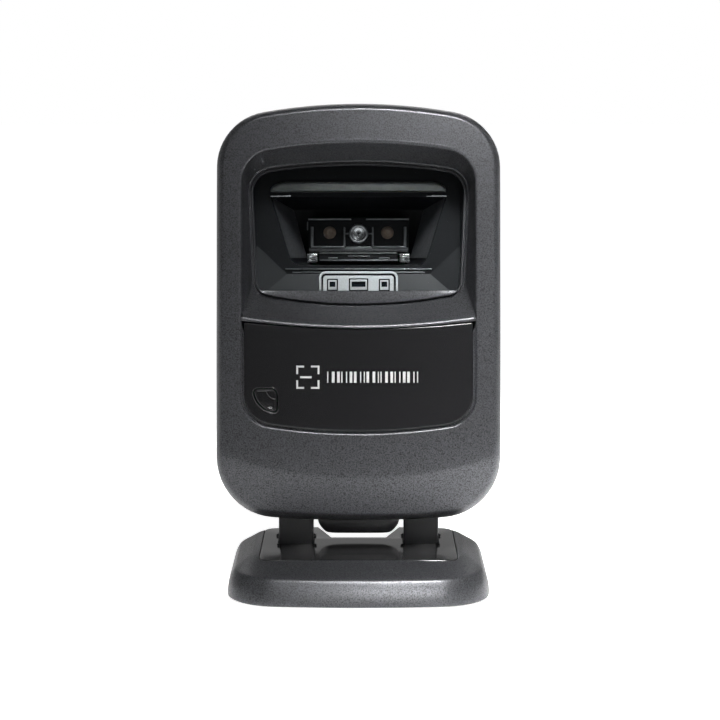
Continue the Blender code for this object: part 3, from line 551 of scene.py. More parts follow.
def face_depth(x, z):
    """How far the front lies behind its crown: bowed, more so at the brow, and turned under at the chin."""
    crown = FACE_BOW_ACROSS * (x / HALF_WIDTH) ** 2 + FACE_BOW_UPRIGHT * ((z - FACE_MIDDLE) / FACE_REACH) ** 2
    crown += max(0, z - BROW_START) ** 2 / BROW_CURVE
    under = CREASE_HEIGHT + CREASE_RISE * (x / CREASE_REACH) ** 2 - z
    return crown + (under + math.hypot(under, CREASE_KNEE)) / 2 * math.tan(math.radians(CHIN_ANGLE))


def flat(points, depth):
    return [(x, depth, z) for x, z in points]


def on_face(points, offset, follow=1.0):
    return [(x, face_depth(x, z) * follow + offset, z) for x, z in points]


def level(points, height):
    return [(x, y, height) for x, y in points]


def roll(radius, steps):
    """(inset, depth) pairs round a quarter circle, from the side up to the face."""
    angles = [math.radians(90 * i / steps) for i in range(steps + 1)]
    return [(radius * (1 - math.cos(a)), radius * (1 - math.sin(a))) for a in angles]


def lip(radius, steps=7):
    """(inset, depth) pairs from a face round its edge and down into a hole."""
    angles = [math.pi / 2 * i / steps for i in range(steps + 1)]
    return [(radius * math.sin(a), radius * (1 - math.cos(a))) for a in angles]


# ---------------------------------------------------------------- head shells


RIM_PROFILE = (
    # inset and depth: side wall, shoulder, then a tighter turn onto the face
    (0.0, 4.35), (0.03, 3.85), (0.1, 3.35), (0.2, 2.9), (0.35, 2.35), (0.8, 1.39),
    (1.3, 0.675), (1.65, 0.325), (1.9, 0.15), (2.1, 0.057), (2.27, 0.011), (RIM_ROUND, 0.0),
)


def front_bezel():
    """Bezel skin: side wall, rounded rim, bowed face and the lip that rolls into the recess."""
    rings = []
    for inset, depth in ((2.0, PARTING - 4), (2.0, PARTING), (0.25, PARTING), (0, PARTING - 0.25)):
        rings.append(flat(head_outline(inset), depth))
    for depth, follow in ((12, 0.2), (7, 0.6)):
        rings.append(on_face(head_outline(0), depth, follow))
    for inset, depth in RIM_PROFILE:
        rings.append(on_face(head_outline(inset), depth))
    outer, inner = head_outline(RIM_ROUND), recess_outline(-0.5)
    steps = 40
    for i in range(1, steps):
        rings.append(on_face(mix_points(outer, inner, i / steps), 0))
    for inset, depth in ((-0.5, 0.0), (-0.25, -0.04)):
        rings.append(on_face(recess_outline(inset), depth))
    for inset, depth in lip(LIP_ROUND):
        rings.append(on_face(recess_outline(inset), depth))
    wall, shelf = recess_outline(LIP_ROUND), recess_outline(1.42)
    for depth, share in ((1.0, 0.0), (1.12, 0.15), (1.12, 0.97), (1.3, 1.0), (2.6, 1.0)):
        ring = []
        for p, q in zip(wall, shelf):
            low = share * (1 - smooth(p[1], PANEL_TOP - 1, PANEL_TOP + 1))
            ring.append((p[0] + (q[0] - p[0]) * low, p[1] + (q[1] - p[1]) * low))
        rings.append(on_face(ring, depth))
    piece("front_bezel_shell", skin(rings), "head", "textured_grey", ("front_bezel",))


def window_funnel():
    """Sloping walls from the recess down to the scan window, with a smiling ledge below."""
    rings = []
    bend = [math.radians(60 * i / 7) for i in range(8)]
    for inset, depth in ((1.4 * (math.sin(a) - math.sin(bend[-1])), 1.4 * (1 - math.cos(a))) for a in bend):
        ring = []
        for x, z in mouth_outline(0):
            low = 1 - smooth(z, LEDGE + 3.2, LEDGE + 4.5)
            ring.append((x, face_depth(x, z) + depth * low + 0.75 * (1 - low), z + inset * low))
        rings.append(ring)
    near = rings[-1]
    far = flat(aperture_outline(0), MOUTH_DEPTH)
    steps = 10
    for i in range(1, steps + 1):
        rings.append(mix_points(near, far, i / steps))
    for inset, depth in lip(0.35, 4)[1:] + [(0.37, 2.3)]:
        rings.append(flat(aperture_outline(inset), MOUTH_DEPTH + depth))
    piece("window_funnel", skin(rings), "head", "textured_grey")


def mullion():
    """Strip of face between the ledge and the cover panel."""
    half, steps = 35.4, 60
    rings = []
    for i in range(steps + 1):
        x = -half + 2 * half * i / steps
        low = PANEL_TOP + 0.35 + PANEL_SAG * (x / PANEL_HALF_WIDTH) ** 2
        high = LEDGE - 0.75 + 2.5 * (x / 34.7) ** 2
        face = face_depth(x, low)
        section = [(x, face + 2.5, low), (x, face + 0.3, low), (x, face + 0.08, low + 0.08)]
        section += [(x, face, low + 0.3), (x, face_depth(x, high), high), (x, face + 1.5, high + 0.1)]
        rings.append(section)
    piece("window_mullion", skin(rings, around=False), "head", "textured_grey")


SILL_ROWS = (
    # depth and share of the way up, from the foot's return over the face to the pane
    (9.6, 0.0), (9.15, 0.0), (9.0, 0.04), (9.0, 0.12), (9.1, 0.55), (9.25, 0.93), (9.5, 0.985), (12.1, 1.0),
)


def window_sill():
    """Crescent below the pane: leans back from the curved foot of the window to a straight upper edge."""
    foot = [p for p in aperture_outline(0.85) if p[1] < SILL_TOP - 0.15]
    foot.sort(key=lambda p: p[0])
    rows = []
    for depth, share in SILL_ROWS:
        rows.append([(x * (1 - 0.012 * share), depth, z + (SILL_TOP - z) * share) for x, z in foot])
    piece("sill_crescent", skin(rows, around=False), "head", "textured_grey", ("window_sill",))


def window_lip():
    """Thin frame round the pane, past a dark groove."""
    rings = []
    profile = ((0.3, 12.3), (0.8, 12.3), (0.8, 11.6), (0.9, 11.4), (1.1, 11.4), (1.25, 11.7), (1.3, 12.4))
    for inset, depth in profile:
        rings.append(flat(aperture_outline(inset), depth))
    piece("window_lip", skin(rings), "head", "satin_grey", ("window_gasket",))


def window_pane():
    rings = []
    for inset, depth in ((1.0, PANE_FRONT), (-0.6, PANE_FRONT), (-0.8, PANE_FRONT + 0.2)):
        rings.append(flat(aperture_outline(inset), depth))
    mesh = skin(rings, cap_first=True)
    piece("scan_window_pane", mesh, "head", "clear_pane", ("scan_window",))


REAR_SECTIONS = (
    # depth, half width, low edge, high edge, corner radius
    (PARTING + 0.3, 43.0, 0.0, HEIGHT, 17),
    (29.0, 42.4, 0.5, 125.4, 17.5),
    (39.0, 40.2, 2.4, 121.0, 18),
    (45.5, 36.0, 5.8, 113.5, 17),
    (50.0, 30.5, 10.8, 103.5, 14),
    (REAR, 24.5, 16.5, 92.0, 10),
)


def through(rows, count):
    """Rows of numbers on a smooth curve through the given rows."""
    made = []
    last = len(rows) - 1
    for i in range(count + 1):
        place = last * i / count
        k = min(int(place), last - 1)
        t = place - k
        four = [rows[max(0, min(last, k + j))] for j in (-1, 0, 1, 2)]
        row = []
        for a, b, c, d in zip(*four):
            row.append(b + 0.5 * t * (c - a + t * (2 * a - 5 * b + 4 * c - d + t * (3 * (b - c) + d - a))))
        made.append(row)
    return made


def rear_rings(wall, sections):
    rings = []
    for depth, half, low, high, corner in sections:
        points = outline(half, low, high, (LOW_CROWN, CROWN), (corner + 1, corner), wall, (10, 9, 24))
        rings.append(flat(points, depth))
    return rings


def rear_housing():
    """Pillowed back shell with its leg slots, sound slots, port window, label seat and screw wells."""
    sections = through(REAR_SECTIONS, 30)
    outer = rear_rings(0, sections)
    end = [(x, z) for x, _, z in outer[-1]]
    outer += [flat(shrunk(end, share), REAR + 0.02) for share in (0.97, 0.6, 0.2)]
    within = [(s[0] - REAR_WALL * (s[0] - PARTING) / (REAR - PARTING), *s[1:]) for s in sections[::3]]
    inner = rear_rings(REAR_WALL, within)
    first = rear_rings(0.3, sections[:1])
    outer[0] = [(x, y + 0.3, z) for x, y, z in outer[0]]
    shell = closed(list(reversed(inner)) + first + outer)
    half = LEG_WIDTH / 2 + 0.4
    cutters = [block((x - half, 10, -8), (x + half, 36.2, 6), 0.8) for x in (-LEG_OFFSET, LEG_OFFSET)]
    cutters += [block((-4.5, 44, 85 + 2.6 * i), (4.5, 60, 86.2 + 2.6 * i), 0.5) for i in range(4)]
    cutters.append(block((-6.9, 44, 17.1), (6.9, 62, 28.0), 0.6))
    cutters.append(block((-19.2, REAR - 0.5, 33.8), (19.2, 62, 66.2), 0.4))
    for x, z in ((-34, 26), (34, 26), (-17, 117), (17, 117)):
        cutters.append(turned(((0, 33), (3.0, 33), (3.0, 62), (0, 62)), (x, 0, z), sides=40))
    shell = carved(shell, *cutters)
    piece("rear_housing_shell", shell, "head", "satin_black", ("rear_housing",), sharp=28)


BELLY_LEVELS = (
    # height, half width, front, back
    (-4.5, 8.8, 22.0, 32.4),
    (-4.3, 9.8, 21.4, 33.2),
    (-3.4, 11.0, 20.6, 34.6),
    (-1.2, 12.4, 19.3, 36.8),
    (1.5, 12.6, 19.2, 40.5),
    (6.0, 12.6, 19.2, 43.5),
)


def belly():
    """Rounded boss under the middle of the back shell, between the legs."""
    rings = []
    for z, half, front, back in through(BELLY_LEVELS, 24):
        rings.append(level(outline(half, front, back, (90, 90), (3, 3), 0, (6, 8, 4)), z))
    piece("belly_boss", closed(rings), "head", "satin_black")


# ---------------------------------------------------------------- cover panel and trigger


def cover_panel():
    """Gloss panel that follows the face, with a hole for the trigger."""
    rings = [on_face(panel_outline(0.0), PANEL_BACK)]
    for inset, depth in roll(0.3, 6):
        rings.append(on_face(panel_outline(inset), PANEL_FRONT + depth))
    edge = panel_outline(0.3)
    shares = (0.97, 0.9, 0.8, 0.68, 0.55, 0.42, 0.3, 0.18, 0.06)
    for share in shares:
        rings.append(on_face(shrunk(edge, share), PANEL_FRONT))
    for share in reversed(shares):
        rings.append(on_face(shrunk(edge, share), PANEL_BACK))
    mesh = skin([*rings, rings[0]])
    middle = shrunk(edge, shares[-1])
    plug = closed([on_face(middle, PANEL_FRONT), on_face(middle, PANEL_BACK)])
    hole = extruded(trigger_outline(TRIGGER_GAP), -4, 8)
    panel = carved(joined(mesh, plug), hole)
    piece("cover_panel", joined(panel, trigger_surround()), "head", "gloss_black", ("front_cover_panel",))


def pocket_outline(near, far, margin, grow):
    """Part ring about the trigger's square corner, between two radii, held off both of its straight sides."""
    near, far, margin = near - grow, far + grow, margin - grow
    points = []
    for radius, forward in ((far, True), (near, False)):
        spare = math.degrees(math.asin(min(0.7, margin / radius)))
        ends = (180 + spare, 270 - spare) if forward else (270 - spare, 180 + spare)
        points += arc(TRIGGER_CORNER, radius, *ends, 14)
    return points


def trigger_surround():
    """Raised bead on the panel, round the trigger."""
    edge = TRIGGER_GAP
    profile = ((edge, 1.6), (edge, 0.42), (0.34, 0.26), (0.48, 0.18), (0.64, 0.24), (0.78, 0.42))
    return skin([on_face(trigger_outline(grow), depth) for grow, depth in profile])


POCKET_WALL = (
    # growth and depth, from the pocket's floor up through the cap's face
    (0.0, 0.66), (0.04, 0.58), (0.1, 0.45), (0.18, 0.31), (0.28, 0.18), (0.4, 0.08), (0.55, 0.0), (0.6, -0.2),
)


def trigger_cap():
    """Quarter-disc cap with two curved pockets about its square corner."""
    rings = [on_face(trigger_outline(0), 3.0)]
    for inset, depth in roll(0.35, 5):
        rings.append(on_face(trigger_outline(-inset), 0.02 + depth))
    body = closed([*rings, on_face(shrunk(trigger_outline(-0.35), 0.5), 0.02)])
    pockets = []
    for near, far in ((1.2, 2.5), (3.5, 5.6)):
        walls = [on_face(pocket_outline(near, far, 0.95, grow), depth) for grow, depth in POCKET_WALL]
        pockets.append(closed(walls))
    x, z = (c - TRIGGER_STEM for c in TRIGGER_CORNER)
    stem = turned(((1.0, 2.6), (1.0, 5.8), (0.8, 6.0), (0, 6.0)), (x, 0, z))
    piece("trigger_cap", joined(carved(body, *pockets), stem), "trigger", "gloss_black", ("trigger_button",))


def pictogram():
    """Generic scan mark on the panel: four view-finder corners round a bar, and a plain bar pattern."""
    patches = []

    def patch(x, z, width, height):
        low, high, steps = -width / 2, width / 2, 2
        rows = []
        for k in range(steps + 1):
            v = z - height / 2 + height * k / steps
            rows.append([(x + low, face_depth(x, v) + 0.375, v), (x + high, face_depth(x, v) + 0.375, v)])
        patches.append(skin(rows, around=False))

    cx, cz, half, arm, stroke = -15.2, 43.4, 3.2, 2.0, 0.55
    for sx in (-1, 1):
        for sz in (-1, 1):
            patch(cx + sx * (half - arm / 2), cz + sz * half, arm + stroke, stroke)
            patch(cx + sx * half, cz + sz * (half - arm / 2), stroke, arm + stroke)
    patch(cx, cz, 4.6, 0.6)
    x, end, k = -9.4, 18.2, 0
    while x < end:
        width = 0.35 + 0.35 * ((k * 7 + k * k * 3) % 4) / 1.5
        patch(x + width / 2, cz, width, 3.3)
        x += width + 0.45 + 0.3 * ((k * 5 + 2) % 3)
        k += 1
    piece("printed_pictogram", joined(*patches), "head", "print_white")


# ---------------------------------------------------------------- what shows behind the pane


def trapezoid(half_low, half_high, low, high, corner):
    """Upright trapezoid with round lower corners, from its upper right corner."""
    slope = math.degrees(math.atan2(half_high - half_low, high - low))
    turn = arc((half_low - corner, low + corner), corner, -slope, -90, 8)
    right = [(half_high, high), *turn]
    return right + [(-x, z) for x, z in reversed(right)]


def light_bar():
    """Pale light guide across the top of the bay, with long rounded shoulders and a soft upper edge."""
    half, low, high, reach = 27.1, 100.75, 103.9, 5.4
    rings = []
    for inset, depth in ((0.0, 17.4), (0.0, 16.0), (0.15, 15.4), (0.5, 14.8), (0.95, 14.45), (1.4, 14.3)):
        wide, tall = reach - inset, high - low - 0.35 - inset
        turn = [math.pi / 2 * i / 12 for i in range(13)]
        right = [(half - reach + wide * math.sin(a), low + 0.35 + tall * math.cos(a)) for a in turn]
        right.append((half - inset - 0.15, low + 0.1 * inset))
        rings.append(flat(right + [(-x, z) for x, z in reversed(right)], depth))
    bar = closed(rings)
    piece("light_bar", bar, "head", "diffuser", ("indicator_light_bar",))


def shroud():
    """Dark flange with a trapezoid mouth, and walls that narrow towards the imager."""
    near, far = trapezoid(21.4, 27.2, 78.2, 99.4, 3.4), trapezoid(16.4, 20.8, 79.4, 96.8, 2.2)
    flange = trapezoid(33.6, 34.4, 74.2, 111.0, 1.5)
    rings = [flat(flange, 17.9), flat(near, 17.9)]
    steps = 6
    for i in range(steps + 1):
        rings.append(flat(mix_points(near, far, i / steps), 18.1 + 15.2 * i / steps))
    piece("shroud_walls", skin(rings), "head", "engine_black", ("engine_shroud",))
    for side, sign in SIDES:
        front = [(sign * (21.3 + 5.8 * t), 18.0, 80.5 + 18.8 * t) for t in (0, 0.25, 0.5, 0.75, 1)]
        back = [(sign * (16.5 + 4.2 * t), 32.8, 81.5 + 15.2 * t) for t in (0, 0.25, 0.5, 0.75, 1)]
        rows = [mix_points(front, back, i / 6) for i in range(7)]
        rows = [[(x - sign * 0.25, y, z) for x, y, z in row] for row in rows]
        piece(f"side_panel_{side}", skin(rows, around=False), "head", "side_panel")
        low, high = sorted((sign * 20.9, sign * 27.2))
        # bright steel strip on the side panel's top edge: a painted highlight that stands in for the edge catching
        # the light
        edge = block((low, 17.4, 99.35), (high, 18.6, 99.85), 0.12)
        piece(f"side_panel_top_highlight_{side}", edge, "head", "bright_steel")


def cavity_floor():
    """Floor that rises from the sill to the shroud and turns up at both ends, with a double back edge."""
    rows = []
    steps = 64
    rise = ((12.9, 67.2, 30.0), (14.2, 69.6, 28.6), (17.2, 75.2, 22.4), (17.3, 75.5, 22.0))
    for depth, height, half in rise:
        rows.append([(-half + 2 * half * i / steps, depth, height) for i in range(steps + 1)])
    piece("bay_floor", skin(rows, around=False), "head", "engine_black", ("cavity_floor",), 20)
    for side, sign in SIDES:
        ends = [(row[0 if sign < 0 else -1]) for row in rows]
        slope = [[(x + sign * out, y, z + 0.95 * out) for x, y, z in ends] for out in (0, 1, 2, 4, 6, 8, 10)]
        piece(f"bay_slope_{side}", skin(slope, around=False), "head", "engine_black")
    for height, half in ((76.0, 20.4), (77.0, 22.6)):
        line = block((-half, 17.2, height - 0.16), (half, 17.8, height + 0.16), 0.1)
        piece(f"floor_edge_{round(height)}", line, "head", "engine_metal")


def emitter_module():
    """White module above the sill: a rimmed plate over a dark tray, with three framed windows."""

    def plate(half, low, high, corner, near, far, rounding):
        points = outline(half, low, high, (9000, 9000), (0.3, corner), 0, (2, 8, 2))
        return extruded(points, near, far, "y", rounding)

    rim = carved(plate(12.1, 66.0, 76.1, 2.0, 13.7, 16.2, 0.2), plate(11.45, 60, 75.45, 1.35, 10, 18, 0.05))
    field = plate(10.85, 66.2, 74.8, 1.0, 14.0, 15.2, 0.12)
    spots = ((-8.0, 1.7, 0.88), (0.0, 3.0, 2.12), (7.9, 1.7, 0.88))
    frames = []
    for x, half, hole in spots:
        top = 73.6 + 0.12 * half
        field = carved(field, block((x - half, 12, 70.1), (x + half, 17, top), 0.2))
        ring = block((x - half + 0.42, 13.9, 70.4), (x + half - 0.42, 15.0, top - 0.42), 0.12)
        frames.append(carved(ring, block((x - hole, 13, 71.3), (x + hole, 16, 72.95), 0.05)))
    piece("emitter_plate", joined(rim, field, *frames), "head", "white_plastic", ("illumination_module",))
    tray = plate(11.8, 66.1, 75.8, 1.6, 15.6, 16.4, 0.05)
    piece("emitter_tray", tray, "head", "engine_black")
    chips = [block((x - 0.55, 15.0, 71.5), (x + 0.55, 15.7, 72.7), 0.1) for x in (-1.1, 1.1, 7.9)]
    piece("emitter_chips", joined(*chips), "head", "lens_glass")


def bars(*spans, near=31.3):
    """Upright or level bars of the imager's frame: (low x, high x, low z, high z) each."""
    return joined(*(block((a, near, c), (b, 33.0, d), 0.12) for a, b, c, d in spans))


BARREL_PROFILE = (
    # radius and depth
    (2.05, 33.0), (2.05, 31.4), (2.2, 30.9), (2.5, 30.75),
    (2.8, 30.85), (3.05, 31.2), (3.1, 31.6), (3.1, 38.0),
)
LAMP_PROFILE = (
    # radius and depth
    (0, 31.5), (0.35, 31.5), (0.5, 31.3), (0.9, 31.25), (1.5, 31.6), (1.95, 32.3), (2.1, 33.2), (0, 33.4),
)


def imager():
    """Imaging engine: a framed box with three pockets, a lens in a metal barrel and two lamp domes."""
    x, z = 0.0, LENS_HEIGHT
    body = block((-15.9, 32.6, 83.6), (15.9, 43.0, 94.3), 0.2)
    piece("imager_body", body, "head", "engine_black", ("imager_housing",))
    upright = [(-15.1, -14.2, 85.2, 91.3), (14.2, 15.1, 85.2, 91.3), (-4.75, -4.15, 85.2, 91.2)]
    upright.append((4.15, 4.75, 85.2, 91.2))
    level_bars = [(-15.9, -2.3, 93.45, 93.95), (2.3, 15.9, 93.45, 93.95), (-16.3, -15.9, 90.3, 92.9)]
    low_bars = [(-15.0, -4.4, 84.7, 85.2), (4.4, 15.0, 84.7, 85.2), (-4.1, 4.1, 84.3, 85.0)]
    frame_bars = bars(*upright, *level_bars, *low_bars)
    piece("imager_frame", frame_bars, "head", "engine_metal")
    shelf = joined(bars((-15.6, 15.6, 83.5, 84.7), near=31.8), bars((-4.4, 4.4, 83.4, 84.4), near=31.0))
    piece("imager_shelf", shelf, "head", "side_panel")
    piece("lens_barrel", turned(BARREL_PROFILE, (x, 0, z)), "head", "steel", ("imager_lens_barrel",))
    inner = ((0.95, 33.2), (0.98, 32.2), (1.1, 31.98), (1.5, 31.88), (1.85, 31.82), (2.0, 31.9), (2.05, 32.3))
    piece("lens_inner_ring", turned(inner, (x, 0, z)), "head", "bright_steel")
    dome = turned(((0, 32.2), (0.4, 32.25), (0.75, 32.5), (0.98, 33.0), (0.98, 33.6), (0, 33.6)), (x, 0, z))
    piece("lens_dome", dome, "head", "lens_glass", ("imager_lens",))
    for side, sign in SIDES:
        dome = turned(LAMP_PROFILE, (sign * 9.1, 0, z + 0.4))
        piece(f"lamp_dome_{side}", dome, "head", "led_amber", (f"aiming_lamp_{side}",))
        low, high = sorted((sign * 12.9, sign * 16.1))
        clip = carved(
            block((low, 30.0, 79.9), (high, 33.0, 82.7), 0.25),
            block((low + 0.5, 28, 80.65), (high - 0.5, 31.6, 81.95), 0.15),
        )
        stands_for = (f"engine_clip_{side}",)
        piece(f"engine_clip_{side}_detail", clip, "head", "bright_steel", stands_for)
        near, far = sorted((sign * 3.05, sign * 4.2))
        pin = block((near, 31.2, z - 0.2), (far, 31.7, z + 0.2), 0.08)
        piece(f"barrel_pin_{side}", pin, "head", "engine_metal")
    rail = block((-12.4, 31.2, 80.4), (12.4, 43.0, 83.0), 0.15)
    piece("slotted_rail", rail, "head", "engine_black", ("engine_rail",))
    edges = bars((-12.2, 12.2, 82.7, 83.05), (-12.2, 12.4, 80.4, 80.8), near=30.6)
    dashes = bars((-9.6, -6.6, 81.2, 81.6), (6.4, 9.8, 81.2, 81.6), (-3.4, 3.6, 81.9, 82.1), near=30.9)
    piece("rail_edges", joined(edges, dashes), "head", "engine_metal")


# ---------------------------------------------------------------- stand


FOOT_SECTIONS = (
    # height, inset at the sides, at the front, at the back, corner radius
    (0.3, 0.6, 0.65, 0.6, 15.6),
    (0.6, 0.15, 0.2, 0.15, 16.0),
    (1.2, 0.02, 0.02, 0.02, 16.3),
    (2.6, 0.08, 0.22, 0.15, 16.3),
    (4.2, 0.3, 0.58, 0.4, 16.1),
    (5.8, 0.7, 1.1, 0.85, 15.8),
    (7.2, 1.35, 1.72, 1.5, 15.3),
    (7.9, 1.8, 2.15, 1.95, 15.0),
    (8.3, 2.2, 2.75, 2.35, 14.6),
    (8.6, 2.65, 3.75, 2.8, 14.2),
    (9.1, 3.45, 6.1, 3.6, 13.5),
    (9.7, 4.6, 9.1, 4.7, 12.5),
    (10.3, 5.7, 12.2, 5.6, 11.4),
    (10.85, 6.8, 15.0, 6.3, 10.2),
    (FOOT_TOP, 7.2, 15.8, 6.6, 9.8),
)


def foot_ring(side, front, back, corner, height):
    low, high = FOOT_FRONT + front, FOOT_REAR - back
    points = outline(FOOT_HALF_WIDTH - side, low, high, (230, 230), (corner, corner), 0, (14, 12, 20))
    return level(points, height)


def inlay_ring(inset, height):
    return level(outline(30.0, -25.5, 21.0, (900, 900), (4, 4), inset, (8, 8, 12)), height)


def cable_notch(deeper):
    """Cutter for the notch in the foot's rear: it widens and falls away to the back."""
    rings = []
    for y, half, low in ((6.2, 8.5, 11.1), (7.0, 8.75, 10.78), (16.5, 11.5, 8.2), (32.0, 16.0, 4.0)):
        rings.append([(-half, y, low - deeper), (half, y, low - deeper), (half, y, 16.0), (-half, y, 16.0)])
    return closed(rings)


def base_shell():
    rings = [foot_ring(*row[1:], row[0]) for row in through(FOOT_SECTIONS, 48)]
    under = [foot_ring(side, side, side, 15.0, z) for side, z in ((3.2, 2.6), (2.8, 0.45))]
    rings = under + rings
    body = closed(rings)
    seat = closed([inlay_ring(-0.15, 9.6), inlay_ring(-0.15, 14)])
    piece("base_shell", carved(body, seat, cable_notch(0.04)), "stand", "textured_grey", ("base_housing",))


def inlay():
    rings = [inlay_ring(0, 9.7)]
    for inset, depth in roll(0.35, 5):
        rings.append(inlay_ring(inset, FOOT_TOP - depth))
    plate = closed(rings)
    half = LEG_WIDTH / 2 + 0.3
    holes = [block((x - half, -2.5, 8), (x + half, 4.2, 14), 0.2) for x in (-LEG_OFFSET, LEG_OFFSET)]
    mesh = carved(plate, cable_notch(0), *holes)
    piece("gloss_inlay", mesh, "stand", "inlay_black", ("base_inlay",))


def legs():
    """Two upright legs with eyes round the tilt shaft."""
    eye = (PIVOT.y / MM, PIVOT.z / MM)
    thick = LEG_THICKNESS
    base = (-2.0 + thick / 2, FOOT_TOP)
    along = (Vector(eye) - Vector(base)).normalized()
    across = Vector((along[1], -along[0])) * thick / 2
    rise = math.degrees(math.atan2(along[1], along[0]))
    spread = math.degrees(math.asin(thick / 2 / LEG_EYE_RADIUS))
    points = [(base[0] - thick / 2, 8.0), (base[0] + thick / 2, 8.0), (base[0] + across[0], base[1])]
    points += arc(eye, LEG_EYE_RADIUS, rise - 180 + spread, rise + 180 - spread, 40)
    points.append((base[0] - across[0], base[1]))
    for side, x in (("left", -LEG_OFFSET), ("right", LEG_OFFSET)):
        half = LEG_WIDTH / 2
        shape = extruded(points, x - half, x + half, "x", 0.5)
        bore = turned(((0, x - 8), (4.0, x - 8), (4.0, x + 8), (0, x + 8)), (0, *eye), "x", 48)
        leg = carved(shape, bore)
        piece(f"{side}_leg_moulding", leg, "stand", "leg_black", (f"{side}_leg",))
        pin = ((0, -6.2), (0.55, -6.2), (0.8, -5.95), (0.8, 5.95), (0.55, 6.2), (0, 6.2))
        at = (x, base[0] + 0.3, 12.6)
        piece(f"{side}_pin_detail", turned(pin, at, "x", 32), "stand", "satin_black", (f"{side}_leg_pin",))


# ---------------------------------------------------------------- carried-over nodes, stage, camera


def dress_frame():
    """Gives each CAD node that still shows the procedural material of its slot."""
    slots = {s["node"]: s["material_slot"] for s in frame["record"]["subparts"]}
    for name, obj in frame["nodes"].items():
        for holder in obj.material_slots:
            holder.material = LOOKS[slots[name]]


def floor_material():
    """White sweep paper: evenly white to the camera. What it gives the object is dimmer near the middle: a painted
    shadow of the object on the floor in front.
    """
    made = Nodes("sweep_paper")
    grain = made.noise(2.0, 4)
    tone = made.blend(made.span(grain, 0.3, 0.7), (0.86, 0.86, 0.86, 1), (0.9, 0.9, 0.9, 1))
    length = made.node("ShaderNodeVectorMath", {"operation": "LENGTH"}, Vector=made.object_space)
    white = made.span(length.outputs["Value"], 0.35, 1.1, FLOOR_WHITE, 1.0)
    seen = made.node("ShaderNodeLightPath").outputs["Is Camera Ray"]
    axes = made.node("ShaderNodeSeparateXYZ", Vector=made.object_space)
    aside = made.node("ShaderNodeMath", {"operation": "ABSOLUTE"}, Value=axes.outputs[0]).outputs[0]
    # painted shadow: the glow that reaches the object is weaker near the middle, where the object's own shadow
    # would lie on the floor
    lit = made.span(aside, 0.012, 0.05, FLOOR_GLOW * 0.6, FLOOR_GLOW * 1.2)
    glow = made.node("ShaderNodeMapRange", Value=seen, To_Min=lit, To_Max=white).outputs[0]
    return made.finish(
        Base_Color=tone,
        Roughness=0.9,
        Specular_IOR_Level=0.0,
        Emission_Color=(1, 1, 1, 1),
        Emission_Strength=glow,
        Normal=made.bump(grain, 0.01),
    )


def floor():
    half = 6.0
    steps = 12
    rows = []
    for i in range(steps + 1):
        y = -half + 2 * half * i / steps
        rows.append([(-half + 2 * half * j / steps, y, -0.0001) for j in range(steps + 1)])
    mesh = skin(rows, around=False)
    mesh.materials.append(floor_material())
    obj = bpy.data.objects.new("paper_floor", mesh)
    bpy.context.scene.collection.objects.link(obj)


def softbox(name, azimuth, elevation, distance, size, power, aside=0.0, spread=180, aim=0.07):
    """A rectangular lamp facing a height on the object's axis, or moved aside from it.

    Azimuth 0 is in front of the object, and a positive one is to its right.
    """
    azimuth, elevation = math.radians(azimuth), math.radians(elevation)
    aim = Vector((0, 0, aim))
    across = math.cos(elevation)
    way = Vector((math.sin(azimuth) * across, -math.cos(azimuth) * across, math.sin(elevation)))
    lamp = bpy.data.lights.new(name, "AREA")
    lamp.shape = "RECTANGLE"
    lamp.size, lamp.size_y = size
    lamp.energy = power
    lamp.spread = math.radians(spread)
    obj = bpy.data.objects.new(name, lamp)
    obj.location = aim + way * distance + Vector((math.cos(azimuth), math.sin(azimuth), 0)) * aside
    obj.rotation_euler = (-way).to_track_quat("-Z", "Y").to_euler()
    bpy.context.scene.collection.objects.link(obj)


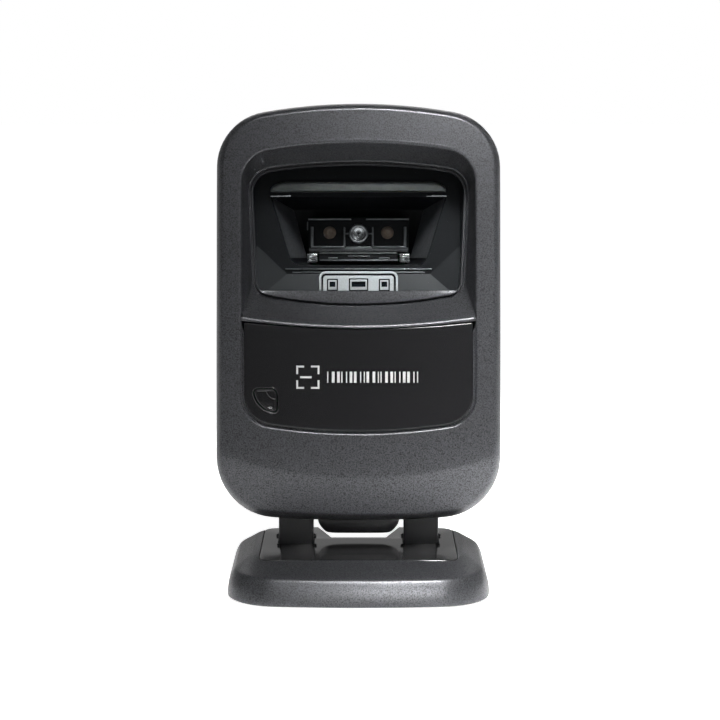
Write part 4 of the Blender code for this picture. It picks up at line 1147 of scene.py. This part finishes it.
def studio_world():
    """White to the camera. The object is lit by a dim room, with a pale sweep low behind it."""
    world = bpy.data.worlds.new("studio")
    world.use_nodes = True
    tree = world.node_tree

    def put(kind, **inputs):
        made = tree.nodes.new(kind)
        for name, value in inputs.items():
            socket = made.inputs[name.replace("_", " ")]
            if isinstance(value, bpy.types.NodeSocket):
                tree.links.new(value, socket)
            else:
                socket.default_value = value
        return made.outputs

    way = put("ShaderNodeSeparateXYZ", Vector=put("ShaderNodeTexCoord")["Generated"])
    behind = put("ShaderNodeMapRange", Value=way["Y"], From_Min=0.2, From_Max=0.8)[0]
    low = put("ShaderNodeMapRange", Value=way["Z"], From_Min=0.5, From_Max=0.2)[0]
    sweep = tree.nodes.new("ShaderNodeMath")
    sweep.operation = "MULTIPLY"
    tree.links.new(behind, sweep.inputs[0])
    tree.links.new(low, sweep.inputs[1])
    room = put("ShaderNodeMapRange", Value=sweep.outputs[0], To_Min=ROOM_LIGHT, To_Max=SWEEP_LIGHT)[0]
    seen = put("ShaderNodeLightPath")["Is Camera Ray"]
    strength = put("ShaderNodeMapRange", Value=seen, To_Min=room, To_Max=1.0)[0]
    tree.links.new(strength, tree.nodes["Background"].inputs["Strength"])
    tree.nodes["Background"].inputs["Color"].default_value = (1, 1, 1, 1)
    bpy.context.scene.world = world
    bpy.context.scene.view_settings.view_transform = "Standard"


def lighting():
    softbox("key", 4, 54, 0.7, (0.28, 0.36), 1.05, aside=0.15, spread=22)
    softbox("right_fill", 40, 44, 0.8, (0.16, 0.16), 0.07)
    softbox("front_spot", 12, 29, 0.9, (0.14, 0.12), 0.15)
    softbox("foot_light", 8, 20, 0.5, (0.3, 0.03), 0.017, spread=9, aim=-0.011)
    softbox("overhead", 0, 62, 1.0, (0.6, 0.3), 1.75)
    softbox("side_fill", 80, 20, 1.3, (0.4, 0.6), 0.15)
    softbox("back_fill", 180, 30, 1.3, (0.8, 0.2), 1.5)


def camera():
    elevation = math.radians(CAMERA_ELEVATION)
    back = Vector((0, -math.cos(elevation), math.sin(elevation)))
    data = bpy.data.cameras.new("camera")
    data.lens = CAMERA_LENS
    data.sensor_width = CAMERA_SENSOR
    data.clip_start = 0.01
    obj = bpy.data.objects.new("camera", data)
    obj.location = Vector(CAMERA_TARGET) + back * CAMERA_DISTANCE
    obj.rotation_mode = "QUATERNION"
    obj.rotation_quaternion = (-back).to_track_quat("-Z", "Y")
    bpy.context.scene.collection.objects.link(obj)
    bpy.context.scene.camera = obj


front_bezel()
window_funnel()
mullion()
window_sill()
window_lip()
window_pane()
rear_housing()
belly()
cover_panel()
trigger_cap()
pictogram()
light_bar()
shroud()
cavity_floor()
emitter_module()
imager()
base_shell()
inlay()
legs()
dress_frame()
floor()
lighting()
studio_world()
camera()
